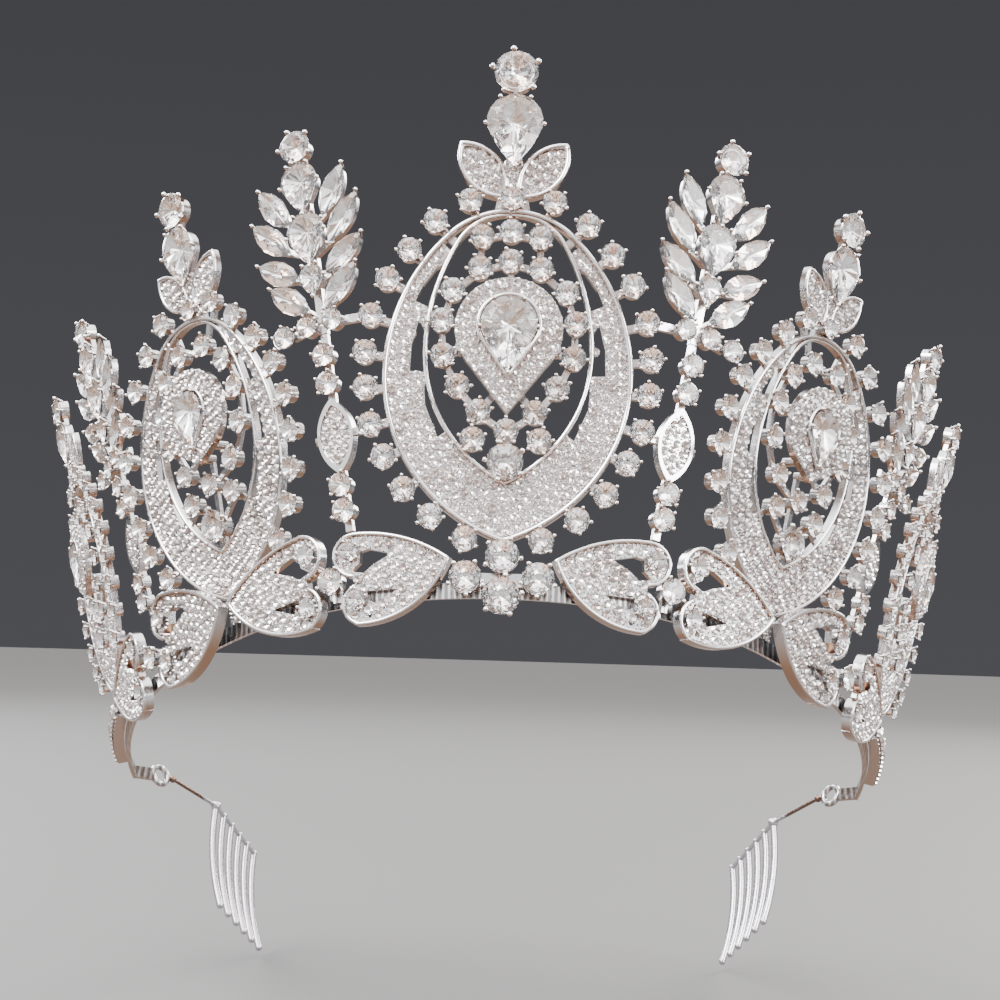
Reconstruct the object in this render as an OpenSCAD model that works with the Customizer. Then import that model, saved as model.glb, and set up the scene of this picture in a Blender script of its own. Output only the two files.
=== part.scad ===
// Crystal tiara: five standing medallions and four leaf sprays on a row of petal wings,
// an inner band, two pointed end bars and two wire side combs.
// Millimetres. X runs across the front, Y to the back of the head, Z up.
// The origin is the middle of the oval on which the tiara sits.

/* [Base oval] */
// radius of the front arc of the oval
front_radius = 53.6; // [40:0.1:80]
// radius of the two side arcs
side_radius = 91; // [70:0.1:140]
// direction where the front arc passes into a side arc, in degrees from the front
arc_change = 45.2; // [30:0.1:60]
// distance from the origin to the front of the oval
front_reach = 90.6; // [60:0.1:120]
// how far the oval is tipped up at the front, in degrees
base_tilt = 24; // [0:0.5:35]
// outward lean of the front and middle pieces, in degrees
lean_front = 14.5; // [0:0.5:30]
// outward lean of the left and right medallions, in degrees
lean_side = 20; // [0:0.1:30]
// outward lean of the rear pieces, in degrees
lean_rear = 17.6; // [0:0.1:30]

/* [Inner band] */
// height of the flat band
band_height = 2.1; // [1:0.1:5]
// thickness of the flat band
band_thick = 0.7; // [0.4:0.1:2]
// lower edge of the band under the oval
band_drop = 7.3; // [4:0.1:12]
// length of the band along the oval on each side
band_reach = 113; // [90:1:135]

/* [Medallion] */
// half width of the ring plate
ring_half = 17.4; // [12:0.1:22]
// height of the widest line of the ring
ring_mid = 24.1; // [18:0.1:30]
// height of the lower point of the ring
ring_tip = 0.2; // [0:0.1:3]
// radius of the round top of the ring
cap_radius = 12.6; // [8:0.1:16]
// height of the centre of the round top
cap_y = 36.1; // [30:0.1:42]
// thickness of the stone plate of the ring
plate_thick = 1.1; // [0.6:0.1:2]
// height of the polished rim
rim_high = 1.55; // [1:0.05:3]
// width of the polished rim
rim_wide = 0.6; // [0.3:0.05:1.2]
// size of the left and right medallions against the front one
side_scale = 0.88; // [0.7:0.005:1]
// size of the rear medallions against the front one
rear_scale = 0.77; // [0.5:0.005:1]
// place of the left and right medallions along the oval
side_place = 43.9; // [35:0.1:50]
// place of the rear medallions along the oval
rear_place = 88.5; // [75:0.1:95]
// how far the side medallions are turned back toward the front, in degrees
side_back = 3; // [0:0.5:12]
// how far the plane halo and its pear stone stand before the ring plate
halo_raise = 2; // [0:0.1:4]

/* [Sprays] */
// place of the front sprays along the oval
spray_place = 23.9; // [18:0.1:30]
// place of the rear sprays along the oval
rear_spray_place = 66.5; // [58:0.1:72]
// size of the rear sprays against the front ones
rear_spray_scale = 0.86; // [0.6:0.01:1]
// sideways lean of a spray away from the front, in degrees
spray_lean = 4.4; // [0:0.1:12]

/* [Stones] */
// radius of the small round stones
round_r = 1.65; // [1:0.05:2.2]
// radius of the round stone in the foot of a medallion
foot_r = 2.4; // [1.5:0.05:3]
// radius of the round stone on top of a medallion
top_r = 3; // [2:0.05:4]
// clearance between a stone and its seat
seat_gap = 0.08; // [0.05:0.01:0.15]
// sides of a round stone
stone_sides = 10; // [8:1:12]

/* [Combs] */
// number of teeth in a comb
teeth = 6; // [4:1:12]
// distance between two teeth
tooth_pitch = 5; // [2:0.1:7]
// length of a tooth
tooth_long = 19; // [12:0.5:30]
// radius of a tooth
tooth_r = 0.6; // [0.3:0.05:1]

/* [Hidden] */
$fn = 48;
metal = [0.86, 0.85, 0.86];
wire = [0.55, 0.38, 0.3];
crystal = [0.9, 0.93, 0.97];
change_s = front_radius * arc_change * PI / 180;
low_r = round(50 * (pow(ring_half, 2) + pow(ring_mid - ring_tip, 2)) / ring_half) / 100;
low_c = low_r - ring_half;
rise = cap_y - ring_mid;
side_r = round(50 * (pow(ring_half, 2) + rise * rise - cap_radius * cap_radius)
  / (ring_half - cap_radius)) / 100;
side_c = side_r - ring_half;
ring_top = cap_y + cap_radius;
link_place = 64.7;

// stone places on the right half of the front medallion, up the outside
front_outer = [
  [5.2, 0.5], [10, 3.5], [13.8, 7.2], [16.7, 11.7], [18.7, 16.2], [19.6, 21.5],
  [19.9, 26.6], [19.3, 32], [17.2, 37.4], [14.3, 41.9], [10.8, 46.3], [6, 49.6]
];
// the same on the side and rear medallions
side_outer = [
  [13.7, 7.2], [17.4, 12], [19.2, 17.4], [20.3, 23.4], [20.3, 29.5], [18.6, 35.4],
  [15.4, 40.8], [11.2, 45.8], [6.4, 49.9]
];
// stone places inside the ring of the front medallion, down the right half
front_inner = [
  [4.1, 44.2], [4.3, 39.5], [8, 36.1], [9.4, 31.6], [9.1, 26.5], [6.9, 22.1],
  [3.9, 18.5], [4.6, 14.5]
];
side_inner = [[3, 43.2], [7.2, 39.6], [9.2, 34.3], [8.8, 28.4], [5.8, 22.9], [5, 17.6]];
// stone places inside the ring on the middle line
front_mid = [[0, 15.8], [0, 45.1], [0, 40.6]];
side_mid = [[0, 20]];
front_foot = [0, 11.3];
side_foot = [0, 12.8];
// halo of a medallion: height of its round centre and of its lower point, and its radius
front_halo = [30, 17.8, 7.5];
side_halo = [32, 23.2, 7.5];
// large pear stone of a medallion: height of the centre, radius, distance to the point
front_pear = [30.5, 3.95, 7];
side_pear = [32.4, 3.4, 6.1];
// where the halo rests on posts, on the right half
front_posts = [[6.6, 27.6], [1.7, 21.6], [0, 36.6]];
side_posts = [[6.9, 33.4], [3.4, 25.8], [0, 24.4]];
crown_pear_place = [0, 61.7];
top_place = [0, 69.4];
crown_base = [0, 48.5];
// marquise stones of a spray: foot and tip on the right of its stem
blades = [
  [[2.8, 49.9], [6.95, 56.9]],
  [[3.2, 45.6], [8.6, 51.9]],
  [[2.2, 41.2], [8.5, 45.4]],
  [[1.3, 35.9], [7, 41.3]]
];
blade_wide = 3;
// pear stones of a spray: height of the round end's centre, its radius, distance to the point
drops = [[56.2, 2.75, 4.7], [48.2, 2.75, 5], [41.1, 1.8, 2.7]];
spray_top = 61.9;
spray_top_r = 2.1;
spray_rounds = [[-2.05, 34, 1.5], [2.05, 34, 1.5], [0, 29.1, 1.6], [0, 24.8, 1.6],
  [0, 9.7, 1.6], [0, 5.95, 1.6]];
spray_shift = -3.2;
// four stones under the front medallion: place and radius
cluster = [[0, -2, 2.2], [-4.9, -5, 2.1], [4.9, -5, 2.1], [0, -7.4, 2.4]];

// direction from the front at a length along the oval
function azimuth(s) = s <= change_s ? s / front_radius * 180 / PI
  : arc_change + (s - change_s) / side_radius * 180 / PI;
// centre of the arc that holds a length along the oval
function arc_centre(s) = s <= change_s ? [0, front_radius - front_reach]
  : [(front_radius - side_radius) * sin(arc_change),
     front_radius - front_reach - (front_radius - side_radius) * cos(arc_change)];
function arc_radius(s) = s <= change_s ? front_radius : side_radius;
function oval_point(s) = arc_centre(s)
  + arc_radius(s) * [sin(azimuth(s)), -cos(azimuth(s))];
// a point of a leaning profile, from height along the lean and distance outward
function leaning(radius, high, out) = [
  radius + high * sin(lean_front) + out * cos(lean_front),
  high * cos(lean_front) - out * sin(lean_front)
];
function from_round(r, n) = [for (i = [0 : n - 1]) r * [cos(360 * i / n), sin(360 * i / n)]];
// outline of a pear with its round end about the origin and its point downward
function from_pear(r, l) = let (b = asin(r / l), foot = [r * cos(b), -r * sin(b)],
  mid = (foot + [0, -l]) / 2 + [0.08 * r, -0.02 * r]) concat(
    [for (i = [0 : 8]) let (a = -b + i * (180 + 2 * b) / 8) r * [cos(a), sin(a)]],
    [[-mid[0], mid[1]], [0, -l], mid]);
// outline of a pointed oval along x
function from_marquise(long, wide) = let (l = long / 2, w = wide / 2,
  r = (l * l + w * w) / (2 * w)) [for (i = [0 : 9]) let (x = l * cos(36 * i),
    y = sqrt(r * r - x * x) - r + w) [x, (i > 5 ? -1 : 1) * (i % 5 == 0 ? 0 : y)]];

// cut stone: table, crown facets to the girdle at height 0, pavilion to one point
module cut_stone(outline, crown, pavilion, table) {
  n = len(outline);
  polyhedron(
    points = concat(
      [for (p = outline) [p[0] * table, p[1] * table, crown]],
      [for (p = outline) [p[0], p[1], 0]],
      [[0, 0, -pavilion]]),
    faces = concat(
      [[for (i = [n - 1 : -1 : 0]) i]],
      [for (i = [0 : n - 1]) [i, (i + 1) % n, n + (i + 1) % n]],
      [for (i = [0 : n - 1]) [i, n + (i + 1) % n, n + i]],
      [for (i = [0 : n - 1]) [n + i, n + (i + 1) % n, 2 * n]]));
}

// round stone whose girdle stands a quarter radius above its cup
module round_stone(r, cup_top) {
  translate([0, 0, cup_top + 0.25 * r])
    cut_stone(from_round(r, stone_sides), 0.3 * r, 0.66 * r, 0.6);
}

module pear_stone(r, l, girdle) {
  translate([0, 0, girdle])
    cut_stone(from_pear(r, l), 0.28 * r, 0.5 * r, 0.62);
}

// turned cup with a bored seat that follows the pavilion of its stone
module cup(r, cup_top) {
  difference() {
    cylinder(h = cup_top, r = 0.85 * r);
    translate([0, 0, cup_top - 0.41 * r - seat_gap * 1.2])
      cylinder(h = 0.41 * r + seat_gap * 1.2 + 0.1, r1 = 0.05,
        r2 = 0.05 + (0.41 * r + seat_gap * 1.2 + 0.1) / 0.66);
  }
}

// straight bar between two points of a panel
module bar(p, q, wide, low, high) {
  d = q - p;
  translate([p[0], p[1], low])
    rotate([0, 0, atan2(d[1], d[0])])
      translate([0, -wide / 2, 0])
        cube([norm(d), wide, high - low]);
}

// leaf outline between two arcs, from the origin along x
module leaf_area(long, wide) {
  r = (long * long / 4 + wide * wide / 4) / wide;
  intersection() {
    translate([long / 2, wide / 2 - r]) circle(r = r);
    translate([long / 2, r - wide / 2]) circle(r = r);
  }
}

// raised-rim leaf plate
module leaf_plate(long, wide) {
  linear_extrude(height = plate_thick) leaf_area(long, wide);
  linear_extrude(height = rim_high - 0.1)
    difference() {
      leaf_area(long, wide);
      translate([1, 0]) leaf_area(long - 2, wide - 0.9);
    }
}

// pear outline with its round end about the origin and its point downward
module pear_area(r, l) {
  b = asin(r / l);
  circle(r = r);
  polygon([[r * cos(b), -r * sin(b)], [-r * cos(b), -r * sin(b)], [0, -l]]);
}

// outline of the medallion ring, inset by d: two arcs below, two above and a round cap
module ring_area(d) {
  cut = cap_y + (cap_radius - d) * rise / (side_r - cap_radius);
  intersection() {
    translate([-low_c, ring_mid]) circle(r = low_r - d);
    translate([low_c, ring_mid]) circle(r = low_r - d);
    translate([-30, -5]) square([60, 5 + ring_mid]);
  }
  intersection() {
    translate([-side_c, ring_mid]) circle(r = side_r - d);
    translate([side_c, ring_mid]) circle(r = side_r - d);
    translate([-30, ring_mid]) square([60, cut - ring_mid]);
  }
  intersection() {
    translate([0, cap_y]) circle(r = cap_radius - d);
    translate([-30, cut]) square([60, 30]);
  }
}

// outline of the inner wire oval, inset by d
module oval_area(d) {
  cut = 39.5 + (8.9 - d) * 12 / 25.5;
  intersection() {
    translate([-9.7, 27.5]) circle(r = 21.6 - d);
    translate([9.7, 27.5]) circle(r = 21.6 - d);
    translate([-30, 0]) square([60, 27.5]);
  }
  intersection() {
    translate([-22.5, 27.5]) circle(r = 34.4 - d);
    translate([22.5, 27.5]) circle(r = 34.4 - d);
    translate([-30, 27.5]) square([60, cut - 27.5]);
  }
  intersection() {
    translate([0, 39.5]) circle(r = 8.9 - d);
    translate([-30, cut]) square([60, 30]);
  }
}

// open slots between the ring plate and the inner wire
module slot_area() {
  for (m = [0, 1]) mirror([m, 0]) {
    intersection() {
      ring_area(rim_wide + 0.06);
      polygon([[1.3, 44], [1.3, 50], [12, 48.5], [9.5, 43.2], [7.6, 41.4]]);
    }
    polygon([[9.2, 40.3], [10.4, 39.6], [12.2, 37], [13.2, 34.6], [10.8, 33.5], [9, 37]]);
    polygon([[12.6, 31.9], [13.5, 28], [13.6, 24.3], [10.9, 24.2], [11.1, 29]]);
    polygon([[11.5, 22.5], [11.3, 19.5], [9.4, 14.9], [7.9, 16], [9.4, 19.5], [10.6, 22.6]]);
  }
}

// where the stem of an outer stone points
function stem_aim(p) = let (q = [abs(p[0]), p[1]],
  a = q[1] < ring_mid ? [-low_c, ring_mid] : q[1] < 43 ? [-side_c, ring_mid] : [0, cap_y],
  d = (a - q) / norm(a - q), e = q + 4 * d) [p[0] < 0 ? -e[0] : e[0], e[1]];

// ring plate with its inner wire, and the polished rims raised on it
module ring_plate() {
  linear_extrude(height = plate_thick)
    difference() {
      ring_area(0);
      oval_area(0.6);
      difference() {
        slot_area();
        oval_area(0);
      }
    }
  translate([0, 0, plate_thick - 0.1])
    linear_extrude(height = rim_high - plate_thick + 0.1)
      difference() {
        ring_area(0.04);
        ring_area(rim_wide);
      }
  translate([0, 0, plate_thick - 0.1])
    linear_extrude(height = 0.35)
      difference() {
        oval_area(0.04);
        oval_area(0.56);
      }
}

// raised stone plate around the large pear stone, with a collar and posts
module halo_plate(halo, pear, posts) {
  low = halo_raise + 0.5;
  translate([0, 0, low])
    linear_extrude(height = 1.3)
      difference() {
        union() {
          translate([0, halo[0]]) circle(r = halo[2]);
          translate([0, halo[0]]) pear_area(halo[2] - 0.05, halo[0] - halo[1]);
        }
        translate([0, pear[0]]) pear_area(pear[1] * 0.8, pear[2] * 0.8);
      }
  translate([0, 0, low + 1.2])
    linear_extrude(height = 0.8)
      translate([0, pear[0]]) difference() {
        pear_area(pear[1] + 0.6, pear[2] + 0.95);
        pear_area(pear[1] + 0.15, pear[2] + 0.3);
      }
  for (m = [-1, 1]) for (p = posts)
    translate([m * p[0], p[1], 0.25]) cylinder(h = halo_raise + 0.5, r = 0.75);
}

// cups and stems outside the ring
module outer_cups(places) {
  for (m = [-1, 1]) for (q = places) {
    p = [m * q[0], q[1]];
    translate([p[0], p[1], 0]) cup(round_r, 1.7);
    bar(p, stem_aim(p), 1.1, 0.15, 0.9);
  }
}

// cups inside a ring, a chain of bars from one to the next, and extra bars
module inner_cups(places, mids, foot, ties) {
  last = len(places) - 1;
  for (m = [-1, 1]) {
    q = [for (p = places) [m * p[0], p[1]]];
    for (p = q) translate([p[0], p[1], 0]) cup(round_r, 1.7);
    for (i = [0 : last - 2]) bar(q[i], q[i + 1], 0.9, 0.2, 0.9);
    bar(q[last - 1], mids[0], 0.9, 0.2, 0.9);
    for (t = ties) bar([m * t[0], t[1]], [m * t[2], t[3]], 0.9, 0.25, 0.9);
  }
  for (p = mids) translate([p[0], p[1], 0]) cup(round_r, 1.7);
  bar(foot, mids[0], 0.9, 0.2, 0.9);
  bar(foot, [0, 7.6], 1.6, 0.2, 0.9);
  translate([foot[0], foot[1], 0]) cup(foot_r, 2.1);
}

// ties of the inner cups on the right half, from and to
front_ties = [
  [4.1, 44.2, 0, 45.1], [4.3, 39.5, 0, 40.6], [4.6, 14.5, 7, 12.6], [4.1, 44.2, 4.9, 46.3],
  [9.4, 31.6, 11.5, 31.9], [9.1, 26.5, 6.6, 27.6], [3.9, 18.5, 1.7, 21.6],
  [0, 45.1, 0, 47.9], [0, 40.6, 0, 36.6]
];
side_ties = [
  [3, 43.2, -3, 43.2], [3, 43.2, 4.2, 46.7], [5, 17.6, 8, 14.6], [5, 17.6, 0, 12.8],
  [9.2, 34.3, 11.3, 34.6], [9.2, 34.3, 6.9, 33.4], [5.8, 22.9, 3.4, 25.8],
  [0, 20, 0, 24.4], [8.8, 28.4, 11.6, 28.2]
];

// two leaves, neck and settings of the crowning stones
module crown_metal() {
  for (m = [0, 1]) mirror([m, 0])
    translate([0.9, 50.3]) rotate([0, 0, 51.5]) leaf_plate(11, 5.8);
  linear_extrude(height = 1.2) polygon([[-2.6, 47.9], [2.6, 47.9], [1.9, 52], [1, 57.4],
    [-1, 57.4], [-1.9, 52]]);
  translate([crown_base[0], crown_base[1] + 1.4, 0]) cup(round_r, 2);
  translate([crown_pear_place[0], crown_pear_place[1], 0.3])
    linear_extrude(height = 1.6)
      difference() {
        pear_area(4.05 * 0.88, 6.9 * 0.88);
        pear_area(4.05 * 0.72, 6.9 * 0.72);
      }
  bar([0, 64.6], [0, 67.6], 1.8, 0.5, 1.5);
  translate([top_place[0], top_place[1], 0]) cup(top_r, 1.9);
}

// the crown of a side medallion is smaller and sits a little toward the front
module crown_turn(kind) {
  if (kind == 0) children();
  else translate([-1.2, 48.7, 0]) rotate([0, 0, -1.5]) scale(0.93)
    translate([0, -crown_base[1], 0]) children();
}

// kind 0 is the front medallion, kind 1 a side or rear one
module medallion_metal(kind, foot) {
  color(metal) {
    ring_plate();
    if (foot < 0) bar([0, 2.5], [0, foot], 2.4, 0, 0.7);
    halo_plate(kind == 0 ? front_halo : side_halo, kind == 0 ? front_pear : side_pear,
      kind == 0 ? front_posts : side_posts);
    outer_cups(kind == 0 ? front_outer : side_outer);
    inner_cups(kind == 0 ? front_inner : side_inner, kind == 0 ? front_mid : side_mid,
      kind == 0 ? front_foot : side_foot, kind == 0 ? front_ties : side_ties);
    crown_turn(kind) crown_metal();
  }
}

module ring_stones(kind) {
  color(crystal) for (m = [-1, 1]) for (q = kind == 0 ? front_outer : side_outer)
    translate([m * q[0], q[1], 0]) round_stone(round_r, 1.7);
}

module inner_stones(kind) {
  foot = kind == 0 ? front_foot : side_foot;
  color(crystal) {
    for (m = [-1, 1]) for (p = kind == 0 ? front_inner : side_inner)
      translate([m * p[0], p[1], 0]) round_stone(round_r, 1.7);
    for (p = kind == 0 ? front_mid : side_mid) translate([p[0], p[1], 0])
      round_stone(round_r, 1.7);
    translate([foot[0], foot[1], 0]) round_stone(foot_r, 2.1);
  }
}

module centre_pear(kind) {
  pear = kind == 0 ? front_pear : side_pear;
  color(crystal) translate([0, pear[0], 0])
    pear_stone(pear[1], pear[2], halo_raise + 2.75);
}

module crown_pear(kind) {
  color(crystal) crown_turn(kind) translate([crown_pear_place[0], crown_pear_place[1], 0])
    pear_stone(4.05, 6.9, 2.75);
}

module top_round(kind) {
  color(crystal) crown_turn(kind) translate([top_place[0], top_place[1], 0])
    round_stone(top_r, 1.9);
}

// moves from a spray's own axes to its panel
module spray_axes() {
  translate([spray_shift, 0, 0]) rotate([0, 0, -spray_lean]) children();
}

// stem, settings, pavé leaf and foot of a spray
module spray_metal() {
  color(metal) spray_axes() {
    bar([0, 32.6], [0, 60.6], 1.3, 0.1, 1);
    for (m = [0, 1]) mirror([m, 0]) for (b = blades) {
      d = b[1] - b[0];
      translate([b[0][0], b[0][1], 0]) rotate([0, 0, atan2(d[1], d[0])]) {
        translate([0.7, 0, 0.2])
          linear_extrude(height = 1.1)
            difference() {
              leaf_area(norm(d) - 1.4, blade_wide * 0.78);
              translate([1.5, 0]) leaf_area(norm(d) - 4.2, blade_wide * 0.5);
            }
      }
      bar([0, b[0][1] - 1], b[0] + d * 0.2, 0.9, 0.15, 0.9);
    }
    for (p = drops) translate([0, p[0], 0.3])
      linear_extrude(height = 1.6)
        difference() {
          pear_area(p[1] * 0.86, p[2] * 0.86);
          pear_area(p[1] * 0.66, p[2] * 0.66);
        }
    translate([0, spray_top, 0]) cup(spray_top_r, 1.9);
    for (p = spray_rounds) translate([p[0], p[1], 0]) cup(p[2], 1.6);
    bar([-2.05, 34], [2.05, 34], 1.1, 0.1, 0.8);
    bar([-6, 33.4], [-2.05, 34], 1.2, 0.1, 0.85);
    bar([2.05, 34], [4.9, 33.5], 1.2, 0.1, 0.85);
    bar([0, 22], [0, 33], 1.1, 0.1, 0.8);
    bar([0, 3.1], [0, 12], 1.1, 0.1, 0.8);
    translate([0, 11.4, 0]) rotate([0, 0, 90]) leaf_plate(11.2, 5.6);
    bar([-4.4, 17], [3.4, 17], 1.1, 0.1, 0.9);
  }
}

module spray_stones() {
  color(crystal) spray_axes() {
    translate([0, spray_top, 0]) round_stone(spray_top_r, 1.9);
    for (p = drops) translate([0, p[0], 0]) pear_stone(p[1], p[2], 2.5);
    for (m = [-1, 1]) for (b = blades) {
      d = [m * (b[1][0] - b[0][0]), b[1][1] - b[0][1]];
      c = [m * (b[1][0] + b[0][0]) / 2, (b[1][1] + b[0][1]) / 2];
      translate([c[0], c[1], 2]) rotate([0, 0, atan2(d[1], d[0])])
        cut_stone(from_marquise(norm(d), blade_wide), 0.7, 1, 0.6);
    }
    for (p = spray_rounds) translate([p[0], p[1], 0]) round_stone(p[2], 1.6);
  }
}

// outline of a wing: pointed at the right, two lobes with a notch at the left
module wing_area() {
  intersection() {
    translate([-4.4, -18.95]) circle(r = 21.5);
    translate([-3.3, 3.3]) circle(r = 13.7);
    translate([-4.4, -12]) square([16, 16]);
  }
  translate([-4.4, -0.6]) circle(r = 3.15);
  translate([-3.3, -7.4]) circle(r = 3);
}

module wing_inner_area() {
  intersection() {
    translate([-4.4, -18.95]) circle(r = 21.05);
    translate([-3.3, 3.3]) circle(r = 13.25);
    translate([-4.4, -12]) square([16, 16]);
  }
  translate([-4.4, -0.6]) circle(r = 2.7);
  translate([-3.3, -7.4]) circle(r = 2.55);
}

// openings of a wing: a curl above and a slit below the middle petal, and a drop hole
module wing_openings() {
  polygon([[-3.6, -0.1], [-2.4, 0.15], [0.9, -0.8], [-1.8, -2.1], [-3.2, -3.15],
    [-5.1, -2.75], [-3.8, -1.7]]);
  polygon([[-2.8, -5.7], [1.7, -5.8], [-1.6, -7.5], [-2.6, -7]]);
  translate([-2.6, -9]) circle(r = 0.45);
}

// wing plate with rim; lug is how far its back pad reaches toward the band
module wing(lug) {
  color(metal) {
    linear_extrude(height = plate_thick)
      difference() {
        wing_area();
        wing_openings();
      }
    linear_extrude(height = rim_high)
      difference() {
        wing_area();
        wing_inner_area();
      }
    if (lug > 0) translate([0.6, -4.3, -lug]) cylinder(h = lug + 0.3, r = 0.9);
  }
}

// four cups on a cross under the front medallion
module cluster_setting() {
  color(metal) {
    for (p = cluster) translate([p[0], p[1], 0]) cup(p[2], 2);
    bar([-4.9, -5], [4.9, -5], 1.8, 0, 0.9);
    bar([0, -2], [0, -7.4], 1.8, 0, 0.9);
  }
}

module cluster_stones() {
  color(crystal) for (p = cluster) translate([p[0], p[1], 0]) round_stone(p[2], 2);
}

// one arc of a leaning strip between two lengths along the oval
module strip(from, to, low, high, inner, outer) {
  c = arc_centre((from + to) / 2);
  r = arc_radius((from + to) / 2);
  translate([c[0], c[1], 0])
    rotate([0, 0, azimuth(from) - 90])
      rotate_extrude(angle = azimuth(to) - azimuth(from))
        polygon([leaning(r, low, inner), leaning(r, low, outer),
          leaning(r, high, outer), leaning(r, high, inner)]);
}

// flat band of three arcs joined by soldered laps, with link cups between the wings
// and a tail with a loop bent inward at each end
module base_band() {
  color(metal) {
    for (m = [0, 1]) mirror([m, 0, 0]) {
      strip(0, change_s, -band_drop, band_height - band_drop, -0.15 - band_thick, -0.15);
      strip(change_s, band_reach, -band_drop, band_height - band_drop,
        -0.15 - band_thick, -0.15);
      at_oval(change_s, lean_front, 0)
        bar([-1.5, 0.5 * band_height - band_drop], [1.5, 0.5 * band_height - band_drop],
          band_height - 0.3, -0.25 - band_thick, -0.1);
      at_oval(spray_place, lean_front, 0) link_cup();
      at_oval(link_place, lean_front, 0) link_cup();
      at_oval(band_reach - 0.6, lean_front, -0.5) translate([0, -6.25, 0])
        rotate([0, 42, 0]) {
          translate([0, -1.05, -0.35]) cube([4.6, 2.1, 0.7]);
          translate([5.8, 0, 0]) rotate_extrude() translate([1.6, 0]) circle(r = 0.5);
        }
    }
  }
}

// post from the band up to the cup of a link stone
module link_cup() {
  translate([0, -3.7, -0.3]) cup(1.7, 2);
  bar([0, -6.6], [0, -3.7], 1.5, -0.6, 0.6);
}

module link_stone() {
  color(crystal) translate([0, -3.7, -0.3]) round_stone(1.7, 2);
}

// channel bar behind each rear medallion, for one row of stones
module end_bar() {
  color(metal) {
    strip(87.5, 110, -5.2, -2.3, -0.07, 1);
    strip(87.5, 110, -5.2, -4.75, 0.9, 1.7);
    strip(87.5, 110, -2.75, -2.3, 0.9, 1.7);
  }
}

// a bent wire comb tied to the loop of the band
module comb() {
  start = [50.8, 8, -5.1];
  end = [46.4, 32.8, -6.2];
  d = end - start;
  turn = atan2(d[1], d[0]);
  translate(start) rotate([0, 0, turn]) rotate([0, -asin(d[2] / norm(d)), 0]) {
    color(metal) for (i = [0 : teeth - 1]) translate([i * tooth_pitch, 0, 0]) {
      rotate([9, 0, 0]) tooth();
      sphere(r = i == 0 ? tooth_r + 0.35 : tooth_r + 0.05);
    }
    color(wire) translate([-0.2, 0, -0.1]) rotate([0, 90, 0])
      cylinder(h = tooth_pitch * (teeth - 1) + 0.4, r = 0.38);
  }
  from = [56.79, -5.17, -4.84];
  e = start - from;
  color(wire) translate(from)
    rotate([0, acos(e[2] / norm(e)), atan2(e[1], e[0])]) cylinder(h = norm(e), r = 0.32);
  color(wire) translate(from) sphere(r = 0.65);
}

// one tooth: an arc that bows to the outside, with a round tip
module tooth() {
  bow = 46;
  sweep = tooth_long / bow * 180 / PI;
  translate([0, bow * cos(sweep / 2), -bow * sin(sweep / 2)])
    rotate([0, 90, 0]) rotate([0, 0, -90 - sweep / 2])
      rotate_extrude(angle = sweep) translate([bow, 0]) circle(r = tooth_r);
  translate([0, 0, -2 * bow * sin(sweep / 2)]) sphere(r = tooth_r + 0.04);
}

// places a flat piece on the oval: x along it, y up the lean, z outward
module at_oval(s, lean, out, turn = 0) {
  p = oval_point(s);
  translate([p[0], p[1], 0]) rotate([0, 0, azimuth(s) + turn]) rotate([90 + lean, 0, 0])
    translate([0, 0, out]) children();
}

// tips the whole tiara up at the front
module worn() {
  rotate([-base_tilt, 0, 0]) children();
}

// 1 keeps the right side, -1 mirrors it to the left
module on(side) {
  worn() mirror([side < 0 ? 1 : 0, 0, 0]) children();
}

module at_front() {
  worn() at_oval(0, lean_front, -0.8) children();
}

module at_side(side) {
  on(side) at_oval(side_place, lean_side, -0.9, -side_back) translate([0, -1.8, 0])
    rotate([0, 0, 2.6]) scale(side_scale) children();
}

module at_rear(side) {
  on(side) at_oval(rear_place, lean_rear, 0) translate([0, -1, 0])
    scale(rear_scale) children();
}

module at_spray(side) {
  on(side) at_oval(spray_place, lean_front, 0) children();
}

module at_rear_spray(side) {
  on(side) at_oval(rear_spray_place, lean_rear, 0.4) scale(rear_spray_scale) children();
}

module wing_front(side) {
  on(side) at_oval(15.9, lean_front, 0) mirror([1, 0, 0]) wing(0);
}

module wing_middle(side) {
  on(side) at_oval(31.6, lean_front, 1) translate([0, -4, 0]) rotate([0, 0, -6])
    scale(1.04) translate([0, 4, 0]) wing(0.95);
}

module wing_side(side) {
  on(side) at_oval(52.9, lean_front + 1.5, 1.05) mirror([1, 0, 0]) translate([0, -4, 0])
    rotate([0, 0, -6]) scale(1.12) translate([0, 4, 0]) wing(0.8);
}

module wing_rear(side) {
  on(side) at_oval(75.9, lean_rear, 0.45) translate([0, -4, 0]) rotate([0, 0, -4])
    translate([0, 4, 0]) wing(0);
}

worn() base_band();
at_front() medallion_metal(0, 0);  // medallion_front
at_side(-1) medallion_metal(1, -3.75);  // medallion_left
at_side(1) medallion_metal(1, -3.75);  // medallion_right
at_rear(-1) medallion_metal(1, -1.5);  // medallion_rear_left
at_rear(1) medallion_metal(1, -1.5);  // medallion_rear_right
at_spray(-1) spray_metal();  // spray_left
at_spray(1) spray_metal();  // spray_right
at_rear_spray(-1) spray_metal();  // spray_rear_left
at_rear_spray(1) spray_metal();  // spray_rear_right
wing_front(-1);  // wing_front_left
wing_front(1);  // wing_front_right
wing_middle(-1);  // wing_middle_left
wing_middle(1);  // wing_middle_right
wing_side(-1);  // wing_side_left
wing_side(1);  // wing_side_right
wing_rear(-1);  // wing_rear_left
wing_rear(1);  // wing_rear_right
worn() at_oval(0, lean_front, 0) cluster_setting();
on(-1) end_bar();  // end_bar_left
on(1) end_bar();  // end_bar_right
on(-1) comb();  // comb_left
on(1) comb();  // comb_right
at_front() ring_stones(0);  // ring_stones_front
at_side(-1) ring_stones(1);  // ring_stones_left
at_side(1) ring_stones(1);  // ring_stones_right
at_front() inner_stones(0);  // inner_stones_front
at_side(-1) inner_stones(1);  // inner_stones_left
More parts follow.
